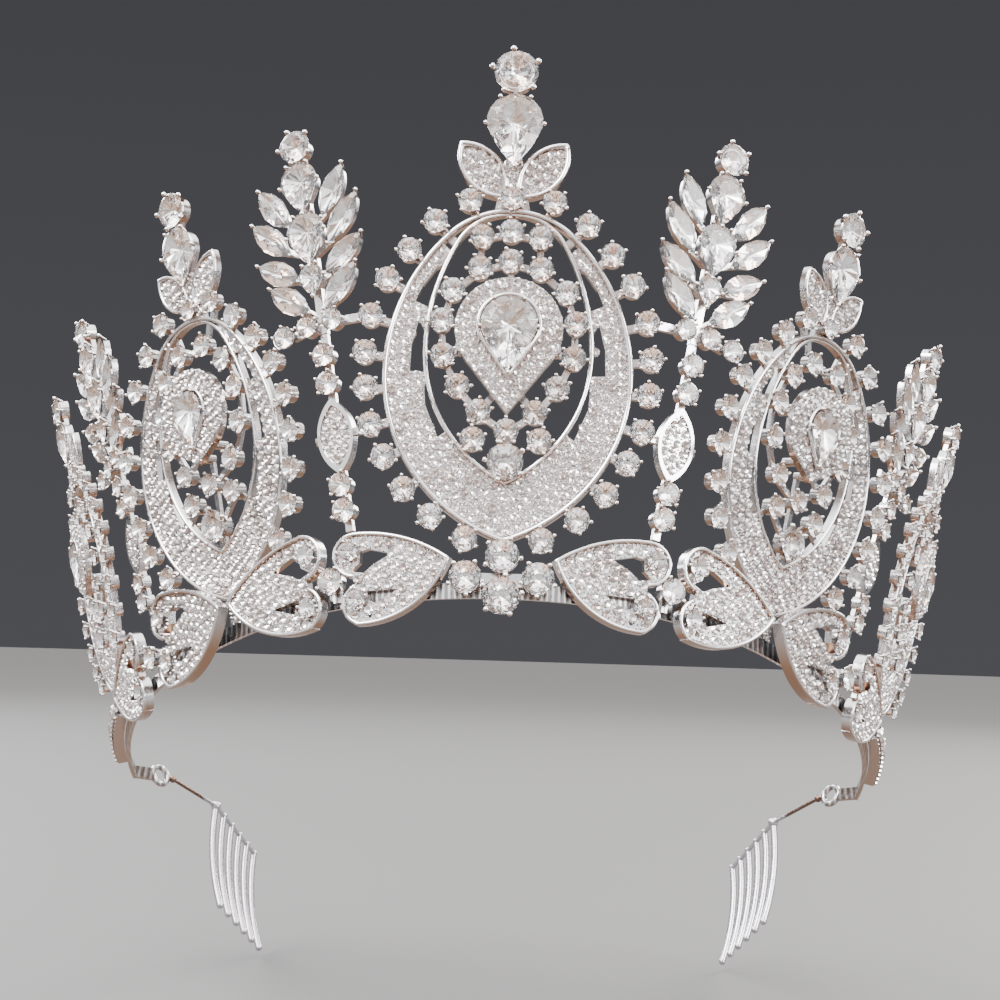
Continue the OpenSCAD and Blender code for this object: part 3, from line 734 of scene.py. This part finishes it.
def plated_metal(name, colour, warm, roughness, grain):
    """Bright plating over a casting: soft unevenness, and a painted warm reflection of light from
    below on its undersides.
    """
    finish, w = new_finish(name)
    under = w.ramp(w.upward(), -0.12, -0.6)
    wear = w.noise(420.0, 3.0)
    tone = w.mix(w.ramp(wear, 0.35, 0.75) * 0.35, rgba(colour),
                 rgba([c * f for c, f in zip(colour, (0.86, 0.84, 0.86))]))
    # faces that look down are painted toward the warm colour: a painted warm reflection of light
    # from below
    tone = w.mix(under * 0.92, tone, rgba(warm))
    fine = w.noise(grain, 2.0)
    bump = w.add("ShaderNodeBump", {}, {"Strength": 0.18, "Distance": 0.00004, "Height": fine})
    close_finish(w, {"Base Color": tone, "Metallic": 1.0,
                     "Roughness": w.ramp(fine, 0.3, 0.7, roughness, roughness + 0.1),
                     "Normal": bump})
    return finish


def band_metal(colour, crest, warm):
    """The band's darker plating, milled with fine upright ribs whose crests are painted lighter as
    a painted highlight, and with a painted warm reflection on its undersides.
    """
    finish, w = new_finish("band plating")
    ribs = w.add("ShaderNodeTexWave", {"bands_direction": "X"},
                 {"Vector": w.where(), "Scale": 380.0, "Distortion": 0.6, "Detail": 1.0},
                 out="Fac")
    # rib crests painted in the lighter crest colour: a painted highlight
    tone = w.mix(w.ramp(ribs, 0.45, 0.9), rgba(colour), rgba(crest))
    # faces that look down are painted toward the warm colour: a painted warm reflection of light
    # from below
    tone = w.mix(w.ramp(w.upward(), -0.3, -0.8) * 0.8, tone, rgba(warm))
    bump = w.add("ShaderNodeBump", {}, {"Strength": 0.3, "Distance": 0.00008, "Height": ribs})
    close_finish(w, {"Base Color": tone, "Metallic": 1.0,
                     "Roughness": w.ramp(w.noise(1500.0), 0.3, 0.7, 0.14, 0.26),
                     "Normal": bump})
    return finish


def comb_metal(colour, wire_colour, wire_from):
    """Satin plated teeth and the dark tie wire in front of them."""
    finish, w = new_finish("comb wire")
    aside = w.add("ShaderNodeMath", {"operation": "ABSOLUTE"},
                  {0: w.add("ShaderNodeSeparateXYZ", {}, {0: w.where()}, out="X")})
    wire = w.ramp(aside, wire_from, wire_from + 0.4 * MM)
    cloudy = w.noise(300.0)
    tone = w.mix(w.ramp(cloudy, 0.3, 0.7) * 0.3, rgba(colour),
                 rgba([0.82 * c for c in colour]))
    close_finish(w, {"Base Color": w.mix(wire, tone, rgba(wire_colour)), "Metallic": 1.0,
                     "Roughness": w.ramp(w.noise(1400.0), 0.3, 0.7, 0.2, 0.32)})
    return finish


def clear_crystal(colour):
    """The clear upper part of a stone."""
    finish, w = new_finish("clear crystal")
    close_finish(w, {"Base Color": rgba(colour), "Transmission Weight": 1.0, "IOR": 1.4,
                     "Roughness": w.ramp(w.noise(700.0), 0.3, 0.8, 0.0, 0.03)})
    return finish


def mirror_foil(colour, painted_tan):
    """The mirrored back of a stone, painted warm in patches on the facets that throw back the
    light below: a painted warm reflection.
    """
    finish, w = new_finish("mirror foil")
    cloudy = w.noise(520.0, 1.0)
    # where the foil gets its painted warm reflection: downward facets, in patches
    warm = w.ramp(w.upward(), -0.02, -0.3) * w.ramp(cloudy, 0.38, 0.52)
    close_finish(w, {"Base Color": w.mix(warm, rgba(colour), rgba(painted_tan)),
                     "Metallic": 0.9, "Roughness": w.ramp(cloudy, 0.3, 0.7, 0.01, 0.04)})
    return finish


def pave_crystal(colour, painted_tan):
    """Close-set small stones, each painted a little lighter or darker than the next: painted
    sparkle, and a painted tan shade.
    """
    finish, w = new_finish("pave crystal")
    spark = w.add("ShaderNodeAttribute", {"attribute_name": "spark"}, {}, out="Fac")
    grain = w.noise(2400.0, 0.0)
    # each stone is painted a random amount between white and tan: painted sparkle on the light
    # ones, painted shade on the dark ones
    light = w.ramp(spark, 0.05, 0.55) * 0.7 + w.ramp(grain, 0.4, 0.6) * 0.3
    close_finish(w, {"Base Color": w.mix(light, rgba(painted_tan), rgba(colour)),
                     "Metallic": w.ramp(spark, 0.0, 1.0, 0.75, 0.95),
                     "Roughness": w.ramp(spark, 0.0, 1.0, 0.14, 0.04),
                     "Coat Weight": 0.6})
    return finish


FINISHES = {}


def make_finishes(chosen):
    # warm: colour of the painted warm reflection on the undersides of the plating and band
    metal, warm = chosen.metal_colour, chosen.under_reflection_colour
    # crest: lighter colour of the band's rib crests, a painted highlight
    cast, dark, crest = ([share * c for c in metal] for share in (0.7, 0.3, 0.85))
    FINISHES["plating"] = plated_metal("bright plating", cast, warm, 0.16, 2600.0)
    FINISHES["polish"] = plated_metal("polished rim", metal, warm, 0.05, 900.0)
    FINISHES["band"] = band_metal(dark, crest, warm)
    FINISHES["comb"] = comb_metal(chosen.comb_colour, chosen.wire_colour,
                                  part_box("comb_right")[1].x - TIE_WIRE)
    FINISHES["crystal"] = clear_crystal(chosen.crystal_colour)
    # the foil's second colour is the tan of its painted warm reflection
    FINISHES["foil"] = mirror_foil((0.985, 0.98, 0.985), (0.8, 0.58, 0.46))
    # the pave's second colour is its painted tan shade
    FINISHES["pave"] = pave_crystal((0.93, 0.9, 0.89), (0.4, 0.32, 0.29))


# Repeating small pieces with geometry nodes

def setting_tree():
    """Sets one small piece on every point, turned to the point's facing and across."""
    tree = bpy.data.node_groups.new("Set on seats", "GeometryNodeTree")
    tree.interface.new_socket("Geometry", in_out="OUTPUT", socket_type="NodeSocketGeometry")
    for name, kind in (("Geometry", "Geometry"), ("Piece", "Object"), ("Turn", "Float"),
                       ("Tilt", "Float"), ("Seed", "Int"), ("Finish", "Material")):
        tree.interface.new_socket(name, in_out="INPUT", socket_type="NodeSocket" + kind)
    w = Wiring(tree)
    given = tree.nodes.new("NodeGroupInput")
    value = {s.name: Value(w, s) for s in given.outputs if s.name}

    def stored(name, kind):
        return w.add("GeometryNodeInputNamedAttribute", {"data_type": kind}, {"Name": name},
                     out="Attribute")

    def chance(low, high, seed):
        return w.add("FunctionNodeRandomValue", {"data_type": "FLOAT"},
                     {"Min": low, "Max": high, "Seed": seed}, out="Value")

    def turned(rotation, axis, angle):
        by = w.add("FunctionNodeAxisAngleToRotation", {}, {"Axis": axis, "Angle": angle})
        return w.add("FunctionNodeRotateRotation", {"rotation_space": "LOCAL"},
                     {"Rotation": rotation, "Rotate By": by})

    upright = w.add("FunctionNodeAlignRotationToVector", {"axis": "Z"},
                    {"Vector": stored("facing", "FLOAT_VECTOR")})
    rotation = w.add("FunctionNodeAlignRotationToVector", {"axis": "X", "pivot_axis": "Z"},
                     {"Rotation": upright, "Vector": stored("across", "FLOAT_VECTOR")})
    rotation = turned(rotation, (0, 0, 1), chance(0.0, value["Turn"], value["Seed"]))
    rotation = turned(rotation, (1, 0, 0),
                      chance(0.0 - value["Tilt"], value["Tilt"], value["Seed"]))
    shape = w.add("GeometryNodeObjectInfo", {}, {"Object": value["Piece"]}, out="Geometry")
    set_pieces = w.add("GeometryNodeInstanceOnPoints", {}, {
        "Points": value["Geometry"], "Instance": shape, "Rotation": rotation,
        "Scale": stored("size", "FLOAT")})
    marked = w.add("GeometryNodeStoreNamedAttribute",
                   {"data_type": "FLOAT", "domain": "INSTANCE"},
                   {"Geometry": set_pieces, "Name": "spark",
                    "Value": chance(0.0, 1.0, value["Seed"])})
    real = w.add("GeometryNodeRealizeInstances", {}, {"Geometry": marked})
    done = w.add("GeometryNodeSetMaterial", {}, {"Geometry": real, "Material": value["Finish"]})
    output = tree.nodes.new("NodeGroupOutput")
    tree.links.new(done.socket, output.inputs[0])
    return tree


def set_on(name, places, shape, finish, turn=0.0, tilt=0.0, seed=1):
    """A plain mesh of one small shape repeated at (point, facing, across, size) places."""
    mesh = bpy.data.meshes.new(name)
    mesh.from_pydata([tuple(p[0]) for p in places], [], [])
    for key, kind, column in (("facing", "FLOAT_VECTOR", 1), ("across", "FLOAT_VECTOR", 2),
                              ("size", "FLOAT", 3)):
        layer = mesh.attributes.new(key, kind, "POINT")
        flat = np.array([p[column] for p in places], dtype=np.float32).ravel()
        layer.data.foreach_set("vector" if kind == "FLOAT_VECTOR" else "value", flat)
    piece = bpy.data.objects.new(name, mesh)
    pattern = new_piece(name + "_pattern", *shape, [])
    bpy.context.scene.collection.objects.link(piece)
    tree = bpy.data.node_groups.get("Set on seats") or setting_tree()
    modifier = piece.modifiers.new("Set on seats", "NODES")
    modifier.node_group = tree
    given = {"Piece": pattern, "Turn": turn, "Tilt": tilt, "Seed": seed,
             "Finish": FINISHES[finish]}
    for socket in tree.interface.items_tree:
        if socket.in_out == "INPUT" and socket.name in given:
            modifier[socket.identifier] = given[socket.name]
    bpy.context.view_layer.update()
    made = piece.evaluated_get(bpy.context.evaluated_depsgraph_get())
    piece.data = bpy.data.meshes.new_from_object(made)
    piece.modifiers.clear()
    piece.data.name = name
    bpy.data.meshes.remove(mesh)
    bpy.data.objects.remove(pattern)
    return piece


# The base oval, for what runs along it

class Oval:
    """The oval of three arcs on which the tiara stands, tipped up at the front."""

    def __init__(self, sizes):
        self.front = sizes.front_radius
        self.side = sizes.side_radius
        self.change = sizes.arc_change
        self.reach = sizes.front_reach
        self.tilt = np.array(Matrix.Rotation(-sizes.base_tilt, 3, "X"))

    def panel(self, length, side, lean):
        """Point, along, up and outward directions at a length along the oval."""
        front_length = self.front * self.change
        if length < front_length:
            turn, radius = length / self.front, self.front
            centre = np.array([0, self.front - self.reach])
        else:
            turn, radius = self.change + (length - front_length) / self.side, self.side
            apart = self.front - self.side
            centre = np.array([apart * math.sin(self.change),
                               self.front - self.reach - apart * math.cos(self.change)])
        point = centre + radius * np.array([math.sin(turn), -math.cos(turn)])
        out = np.array([math.sin(turn), -math.cos(turn), 0])
        along = np.array([math.cos(turn), math.sin(turn), 0])
        up = np.array([0, 0, math.cos(lean)]) + out * math.sin(lean)
        facing = out * math.cos(lean) - np.array([0, 0, math.sin(lean)])
        flip = np.array([side, 1, 1])
        return [self.tilt @ (v * flip) for v in (np.append(point, 0), along, up, facing)]


# Sizes and colours

class TiaraSettings(bpy.types.PropertyGroup):
    front_radius: bpy.props.FloatProperty(
        name="Front radius", description="Radius of the front arc of the base oval",
        default=53.6 * MM, unit="LENGTH")
    side_radius: bpy.props.FloatProperty(
        name="Side radius", description="Radius of the two side arcs of the base oval",
        default=91 * MM, unit="LENGTH")
    arc_change: bpy.props.FloatProperty(
        name="Arc change", description="Direction at which the arcs meet",
        default=math.radians(45.2), subtype="ANGLE")
    front_reach: bpy.props.FloatProperty(
        name="Front reach", description="Distance from the origin to the front of the oval",
        default=90.6 * MM, unit="LENGTH")
    base_tilt: bpy.props.FloatProperty(
        name="Tilt", description="How far the tiara is tipped up at the front",
        default=math.radians(24), subtype="ANGLE")
    lean: bpy.props.FloatProperty(
        name="Lean", description="Outward lean of the band and its end bars",
        default=math.radians(14.5), subtype="ANGLE")
    pave_pitch: bpy.props.FloatProperty(
        name="Pave pitch", description="Distance between two close-set small stones",
        default=1.36 * MM, unit="LENGTH")
    claw_radius: bpy.props.FloatProperty(
        name="Claw radius", description="Radius of the ball of a claw",
        default=0.27 * MM, unit="LENGTH")
    table: bpy.props.FloatProperty(
        name="Table", description="Size of a stone's table against its girdle",
        default=0.7, min=0.3, max=0.85)
    metal_colour: bpy.props.FloatVectorProperty(
        name="Plating", description="Colour of the bright plating", subtype="COLOR",
        default=(0.9, 0.885, 0.89))
    # colour of the painted warm reflection of light from below, on the undersides of the plating
    # and band
    under_reflection_colour: bpy.props.FloatVectorProperty(
        name="Underside", description="Warmer tone of the plating on undersides",
        subtype="COLOR", default=(0.4, 0.21, 0.12))
    comb_colour: bpy.props.FloatVectorProperty(
        name="Comb", description="Colour of the comb's teeth", subtype="COLOR",
        default=(0.55, 0.52, 0.56))
    wire_colour: bpy.props.FloatVectorProperty(
        name="Tie wire", description="Colour of the wire that ties a comb", subtype="COLOR",
        default=(0.2, 0.12, 0.09))
    crystal_colour: bpy.props.FloatVectorProperty(
        name="Crystal", description="Tint of the clear stones", subtype="COLOR",
        default=(0.985, 0.98, 0.985))
    floor_colour: bpy.props.FloatVectorProperty(
        name="Floor", description="Colour of the plain floor", subtype="COLOR",
        default=(0.105, 0.104, 0.102))
    wall_colour: bpy.props.FloatVectorProperty(
        name="Background", description="Colour far behind the tiara", subtype="COLOR",
        default=(0.045, 0.045, 0.05))


def settings():
    return bpy.context.scene.tiara


# Operators

class TIARA_OT_finishes(bpy.types.Operator):
    """Makes the finishes and puts them on the metal solids"""
    bl_idname = "tiara.finishes"
    bl_label = "Plate the metal"

    def execute(self, context):
        make_finishes(settings())
        chosen = {name: "plating" for name in PLAIN_METAL}
        chosen["base_band"] = "band"
        chosen.update({n: "comb" for n in NODES if n.startswith("comb_")})
        for name, finish in chosen.items():
            materials = NODES[name].data.materials
            materials.clear()
            materials.append(FINISHES[finish])
        return {"FINISHED"}


class TIARA_OT_stones(bpy.types.Operator):
    """Cuts every stone in place of its plain solid"""
    bl_idname = "tiara.stones"
    bl_label = "Cut the stones"

    def execute(self, context):
        table = settings().table
        finishes = [FINISHES["crystal"], FINISHES["foil"]]
        for name in STONE_NODES:
            points, faces, kinds = stones_mesh(cut_seats(name), table)
            piece = new_piece(name + "_cut", points, faces, finishes, kinds=kinds)
            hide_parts(name)
            hang(piece)
        for name, seats in added_seats().items():
            points, faces, kinds = stones_mesh(seats, table)
            hang(new_piece(name, points, faces, finishes, kinds=kinds))
        return {"FINISHED"}


def claw_shape(radius):
    """A ball claw on a leg that leans in toward the cup."""
    profile = [(0.62 * radius, -3.6 * radius, -1.9 * radius),
               (0.6 * radius, -0.9 * radius, -0.5 * radius),
               (0.93 * radius, -0.36 * radius, 0), (radius, 0.1 * radius, 0),
               (0.72 * radius, 0.7 * radius, 0), (0.25 * radius, 0.97 * radius, 0)]
    points, faces = lathe(profile, 7)
    return points, [tuple(reversed(f)) for f in faces]


def cup_shape(radius, deep):
    """A turned cup round a stone, open above its mirrored back."""
    profile = [(0.5 * radius, -deep - 0.3 * radius, 0), (0.93 * radius, -0.6 * deep, 0),
               (1.05 * radius, 0.02 * radius, 0), (1.0 * radius, 0, 0),
               (0.12 * radius, -deep - 0.1 * radius, 0)]
    points, faces = lathe(profile, 12)
    return points, [tuple(reversed(f)) for f in faces]


def claw_places(seat, radius, first, square=False):
    """Claws round a stone: five, one at each point of a marquise, or four at the corners."""
    if seat.cut == "marquise":
        spots = [(0.0, seat.length), (math.pi, seat.length)]
    elif seat.cut == "pear":
        spots = [(0.0, seat.length)] + [(angle, seat.round_end) for angle in PEAR_CLAWS]
    elif square:
        level = math.atan2(seat.side[0], seat.tip[0])
        spots = [(level + (k + 0.5) * math.pi / 2, seat.length * SQUARE_REACH)
                 for k in range(4)]
    else:
        spots = [(first + k * math.tau / 5, seat.length) for k in range(5)]
    size = LONG_CLAW
    if seat.cut == "round":
        size = min(max(seat.length / CLAW_STONE, CLAW_SIZES[0]), CLAW_SIZES[1])
    size *= SQUARE_CLAW if square else 1
    places = []
    for angle, reach in spots:
        away = seat.tip * math.cos(angle) + seat.side * math.sin(angle)
        point = seat.middle + away * (reach + CLAW_OUT * radius * size) \
            + seat.facing * CLAW_UP * radius * size
        places.append((point, seat.facing, away, size))
    return places


def claw_piece(name):
    """The piece that holds the claws of a group of stones."""
    if name in ("cluster_stones", "link_stones"):
        return "band_claws"
    side = next((word for word in ("front", "left") if word in name), "right")
    return ("spray_claws_" if "spray" in name else "medallion_claws_") + side


class TIARA_OT_claws(bpy.types.Operator):
    """Sets the ball claws that hold the stones"""
    bl_idname = "tiara.claws"
    bl_label = "Set the claws"

    def execute(self, context):
        radius = settings().claw_radius
        added = added_seats()
        groups = {"arm_claws": added["arm_stones"], "lobe_claws": added["lobe_stones"]}
        for name in STONE_NODES:
            groups.setdefault(claw_piece(name), []).extend(cut_seats(name))
        for side in ("left", "right"):
            groups["medallion_claws_" + side] += added["small_stones_rear_" + side]
        groups["medallion_claws_front"] += added["crown_foot_stones"]
        lowest = min(groups["band_claws"], key=lambda seat: seat.middle[2])
        for key, seats in sorted(groups.items()):
            places = []
            for k, seat in enumerate(seats):
                first = CLAW_TURN[0] + CLAW_TURN[1] * k
                places += claw_places(seat, radius, first, seat is lowest)
            piece = set_on(key, places, claw_shape(radius), "polish")
            piece.data.polygons.foreach_set("use_smooth", [True] * len(piece.data.polygons))
            hang(piece)
        arms = groups["arm_claws"]
        places = [(arm.middle, arm.facing, arm.tip, arm.length / arms[0].length) for arm in arms]
        cup = cup_shape(arms[0].length, arms[0].pavilion)
        hang(set_on("arm_cups", places, cup, "plating"))
        return {"FINISHED"}


def small_stone_shape(radius):
    """An eight-sided small stone: bevelled crown, and its mirrored back as a sunk star."""
    points, faces = [], []
    for reach, high, shift in ((0.8, -0.5, 0), (1.0, 0.0, 0), (0.7, 0.36, 0.5)):
        for k in range(8):
            turn = math.tau * (k + shift) / 8
            points.append((radius * reach * math.cos(turn), radius * reach * math.sin(turn),
                           radius * high))
    points.append((0, 0, -radius * 0.1))
    for k in range(8):
        n = (k + 1) % 8
        faces += [(k, n, 8 + n, 8 + k), (8 + k, 8 + n, 16 + k), (16 + k, 8 + n, 16 + n),
                  (24, 16 + k, 16 + n)]
    faces.append(tuple(range(7, -1, -1)))
    return points, faces


def grain_shape(radius):
    """A bead of metal with a flattened top."""
    profile = [(radius * 0.9, -radius, 0), (radius * 0.95, 0, 0),
               (radius * 0.45, radius * 0.85, 0)]
    points, faces = lathe(profile, 5)
    return points, [tuple(reversed(f)) for f in faces]


def stone_rows(grid, gap, pitch):
    """Places of the small stones on one face, and the size that each has room for."""
    places = settle(row_starts(grid, gap, pitch), grid, SETTLE_ROUNDS)
    apart = np.linalg.norm(places[:, None] - places[None], axis=2)
    np.fill_diagonal(apart, FAR)
    near = apart.min(axis=1) if len(places) > 1 else np.full(1, pitch)
    return places, np.clip(near / pitch, *SMALL_SIZES)


def grain_spots(grid, gap, places, sizes, pitch):
    """Places of the beads in what the small stones leave free, widest gaps first."""
    open_gap = np.full(len(grid), FAR)
    for p, size in zip(places, sizes):
        room = np.linalg.norm(grid - p, axis=1) - size * pitch * SMALL_ROOM
        open_gap = np.minimum(open_gap, room)
    free = (open_gap > pitch * GRAIN_ROOM[0]) & (gap > pitch * GRAIN_ROOM[1])
    left = grid[free][np.argsort(-open_gap[free])]
    spots = []
    while len(left):
        spots.append(left[0])
        left = left[np.linalg.norm(left - left[0], axis=1) > pitch * GRAIN_GAP]
    return spots


def small_places(name, pitch):
    """Places of the small stones and of the beads on all faces of one plate."""
    stones, grains = [], []
    taken = lobe_seats(name) if name in WINGS else []
    for flat in flats_of(name, PLATE_FACE):
        grid, gap = flat.fill(pitch / GRID)
        for seat in taken:
            spot = np.array([seat.middle @ flat.across, seat.middle @ flat.up])
            gap = np.minimum(gap, np.linalg.norm(grid - spot, axis=1) - seat.length)
        grid, gap = grid[gap > 0], gap[gap > 0]
        if gap.max() < pitch * NARROWEST[name.split("_")[0]]:
            continue
        places, sizes = stone_rows(grid, gap, pitch)
        stones += [(flat.place(p, SMALL_LIFT), flat.facing, flat.across, size)
                   for p, size in zip(places, sizes)]
        grains += [(flat.place(p, GRAIN_LIFT), flat.facing, flat.across, 1.0)
                   for p in grain_spots(grid, gap, places, sizes, pitch)]
    return stones, grains


class TIARA_OT_pave(bpy.types.Operator):
    """Fills the cast plates with rows of small stones and beads of metal between them"""
    bl_idname = "tiara.pave"
    bl_label = "Set the pave"

    def execute(self, context):
        pitch = settings().pave_pitch
        for seed, name in enumerate(PLATE_NODES, FIRST_SEED):
            stones, grains = small_places(name, pitch)
            if stones:
                hang(set_on("pave_" + name, stones, small_stone_shape(pitch * SMALL_STONE),
                            "pave", math.tau, SMALL_TILT, seed))
            if grains:
                hang(set_on("grains_" + name, grains, grain_shape(GRAIN), "polish",
                            seed=seed))
        return {"FINISHED"}


def ordered_loops(flat):
    """The edges of a face as closed rings of points, in the face's own plane."""
    follow = {}
    basis = np.array([flat.across, flat.up]).T
    for a, b in flat.border_ids:
        follow.setdefault(a, []).append(b)
        follow.setdefault(b, []).append(a)
    loops, seen = [], set()
    for start in follow:
        if start in seen:
            continue
        ring, here = [start], start
        seen.add(start)
        while True:
            onward = [k for k in follow[here] if k not in seen]
            if not onward:
                break
            here = onward[0]
            seen.add(here)
            ring.append(here)
        if len(ring) > 5:
            loops.append(flat.points[ring] @ basis)
    return loops


def even_ring(ring, step):
    """A closed ring with its points spaced evenly."""
    closed = np.vstack([ring, ring[:1]])
    run = np.append(0, np.cumsum(np.linalg.norm(np.diff(closed, axis=0), axis=1)))
    count = max(8, int(run[-1] / step))
    at = np.arange(count) * run[-1] / count
    return np.stack([np.interp(at, run, closed[:, k]) for k in (0, 1)], 1), run[-1]


def rim_wire(flat):
    """The rounded wire on one flat rim, or nothing where the face isn't a rim."""
    width = flat.near_width()
    if not RIM_WIDTHS[0] < width < RIM_WIDTHS[1]:
        return [], []
    loops = sorted((even_ring(ring, RIM_STEP) for ring in ordered_loops(flat)),
                   key=lambda pair: -pair[1])
    if not loops or loops[0][1] < SHORTEST_RIM:
        return [], []
    ring = loops[0][0]
    ahead = np.roll(ring, -1, axis=0) - np.roll(ring, 1, axis=0)
    ahead /= np.linalg.norm(ahead, axis=1)[:, None] + 1e-12
    inward = np.stack([-ahead[:, 1], ahead[:, 0]], 1)
    turning = np.sum(np.cross(ring, np.roll(ring, -1, axis=0)))
    ring = ring + inward * (width / 2) * np.sign(turning)
    path = [flat.place(p, -RIM_SINK) for p in ring]
    points, faces = tube(path, width / 2 + RIM_OVER, flat.facing, RIM_HEIGHT)
    if turning < 0:
        faces = [tuple(reversed(f)) for f in faces]
    return list(points), faces


class TIARA_OT_rims(bpy.types.Operator):
    """Rounds the polished rims with a crest of bright wire"""
    bl_idname = "tiara.rims"
    bl_label = "Round the rims"

    def execute(self, context):
        for name in MEDALLION_NODES + WINGS:
            points, faces = [], []
            for flat in flats_of(name, RIM_FACE):
                more_points, more_faces = rim_wire(flat)
                faces += [tuple(len(points) + i for i in f) for f in more_faces]
                points += more_points
            if points:
                hang(new_piece("rim_" + name, points, faces, [FINISHES["polish"]], smooth=True))
        return {"FINISHED"}


class TIARA_OT_end_rows(bpy.types.Operator):
    """Sets the row of stones in the channel bar behind each rear medallion"""
    bl_idname = "tiara.end_rows"
    bl_label = "Set the end rows"

    def execute(self, context):
        s = settings()
        oval = Oval(s)
        aside, high = END_BEAD_AT
        for side, word in ((-1, "left"), (1, "right")):
            places, beads = [], []
            for length in np.arange(*END_ROW) * MM:
                point, along, up, facing = oval.panel(length, side, s.lean)
                middle = point - up * (END_DROP * MM) + facing * END_OUT * MM
                places.append((middle, facing, along, 1.0))
                beads += [(middle + along * aside * MM + up * step * MM, facing, along, 1.0)
                          for step in (-high, high)]
            hang(set_on("end_row_" + word, places, small_stone_shape(END_STONE * MM), "pave",
                        math.tau, END_TILT, END_SEED))
            hang(set_on("end_row_claws_" + word, beads, grain_shape(END_BEAD * MM), "polish"))
        return {"FINISHED"}


def add_camera():
    data = bpy.data.cameras.new("camera")
    data.lens = CAMERA_LENS
    data.sensor_width = 36
    data.clip_start = 0.01
    data.clip_end = 100
    camera = bpy.data.objects.new("camera", data)
    bpy.context.scene.collection.objects.link(camera)
    ahead = Vector((math.sin(CAMERA_YAW) * math.cos(CAMERA_PITCH),
                    math.cos(CAMERA_YAW) * math.cos(CAMERA_PITCH), math.sin(CAMERA_PITCH)))
    right = Vector((math.cos(CAMERA_YAW), -math.sin(CAMERA_YAW), 0))
    up = right.cross(ahead)
    level = right * math.cos(CAMERA_ROLL) + up * math.sin(CAMERA_ROLL)
    upright = up * math.cos(CAMERA_ROLL) - right * math.sin(CAMERA_ROLL)
    turn = Matrix((level, upright, -ahead)).transposed().to_4x4()
    camera.matrix_world = Matrix.Translation(CAMERA_PLACE) @ turn
    bpy.context.scene.camera = camera


def add_light(name, place, width, height, power, colour):
    data = bpy.data.lights.new(name, "AREA")
    data.shape = "RECTANGLE"
    data.size, data.size_y = width, height
    data.energy = power
    data.color = colour
    light = bpy.data.objects.new(name, data)
    bpy.context.scene.collection.objects.link(light)
    light.location = place
    light.rotation_euler = (Vector(AIM) - Vector(place)).to_track_quat("-Z", "Y").to_euler()


def add_floor(colour):
    level = CAD_BOX[0].z - FLOOR_GAP
    turns = [k * math.tau / FLOOR_SIDES for k in range(FLOOR_SIDES)]
    points = [(FLOOR_RADIUS * math.cos(a), FLOOR_RADIUS * math.sin(a), level) for a in turns]
    finish, w = new_finish("plain floor")
    away = w.add("ShaderNodeVectorMath", {"operation": "LENGTH"}, {0: w.where()},
                 out="Value")
    tone = w.mix(w.noise(6.0) * 0.2, rgba(colour), rgba([0.95 * c for c in colour]))
    # painted falloff of light: the floor is painted darker away from the middle
    tone = w.mix(w.ramp(away, *FLOOR_FADE), tone, rgba([0.9 * c for c in colour]))
    close_finish(w, {"Base Color": tone, "Roughness": 0.7})
    new_piece("floor", points, [tuple(range(FLOOR_SIDES))], [finish])


def add_sky(colour):
    """Soft light from all round, with a plain wall in the background colour behind."""
    world = bpy.data.worlds.new("studio")
    bpy.context.scene.world = world
    world.use_nodes = True
    world.node_tree.nodes.clear()
    w = Wiring(world.node_tree)
    way = w.add("ShaderNodeTexCoord", out="Generated")
    high = w.add("ShaderNodeSeparateXYZ", {}, {0: way}, out="Z")
    behind = w.ramp(w.add("ShaderNodeSeparateXYZ", {}, {0: way}, out="Y"), -0.1, 0.75)
    low = w.ramp(high, 0.75, 0.45)
    stops = [(0.5, colour), (0.53, [2.0 * c for c in colour]), *SKY]
    sky = w.add("ShaderNodeValToRGB", {"stops": stops}, {0: high * 0.5 + 0.5}, out="Color")
    wall = w.mix(w.ramp(high, 0.0, 0.4), rgba(colour), rgba([0.72 * c for c in colour]))
    glow = w.add("ShaderNodeBackground", {}, {"Color": w.mix(behind * low, sky, wall),
                                              "Strength": SKY_STRENGTH})
    w.add("ShaderNodeOutputWorld", {}, {"Surface": glow})


class TIARA_OT_stage(bpy.types.Operator):
    """Sets the plain floor, the soft lights and the camera"""
    bl_idname = "tiara.stage"
    bl_label = "Set the stage"

    def execute(self, context):
        s = settings()
        add_camera()
        add_floor(s.floor_colour)
        for light in LIGHTS:
            add_light(*light)
        add_sky(s.wall_colour)
        return {"FINISHED"}


class TIARA_PT_panel(bpy.types.Panel):
    """Lists the steps of dressing the tiara"""
    bl_label = "Tiara"
    bl_idname = "TIARA_PT_panel"
    bl_space_type = "VIEW_3D"
    bl_region_type = "UI"
    bl_category = "Tiara"

    def draw(self, context):
        for operator in OPERATORS:
            self.layout.operator(operator.bl_idname)
        for name in TiaraSettings.__annotations__:
            self.layout.prop(context.scene.tiara, name)


OPERATORS = (TIARA_OT_stage, TIARA_OT_finishes, TIARA_OT_stones, TIARA_OT_claws,
             TIARA_OT_pave, TIARA_OT_rims, TIARA_OT_end_rows)
CLASSES = (TiaraSettings, *OPERATORS, TIARA_PT_panel)


def register():
    for each in CLASSES:
        bpy.utils.register_class(each)
    bpy.types.Scene.tiara = bpy.props.PointerProperty(type=TiaraSettings)


def unregister():
    del bpy.types.Scene.tiara
    for each in reversed(CLASSES):
        bpy.utils.unregister_class(each)


def main():
    register()
    for operator in OPERATORS:
        getattr(bpy.ops.tiara, operator.bl_idname.split(".")[1])()


if __name__ == "__main__":
    main()
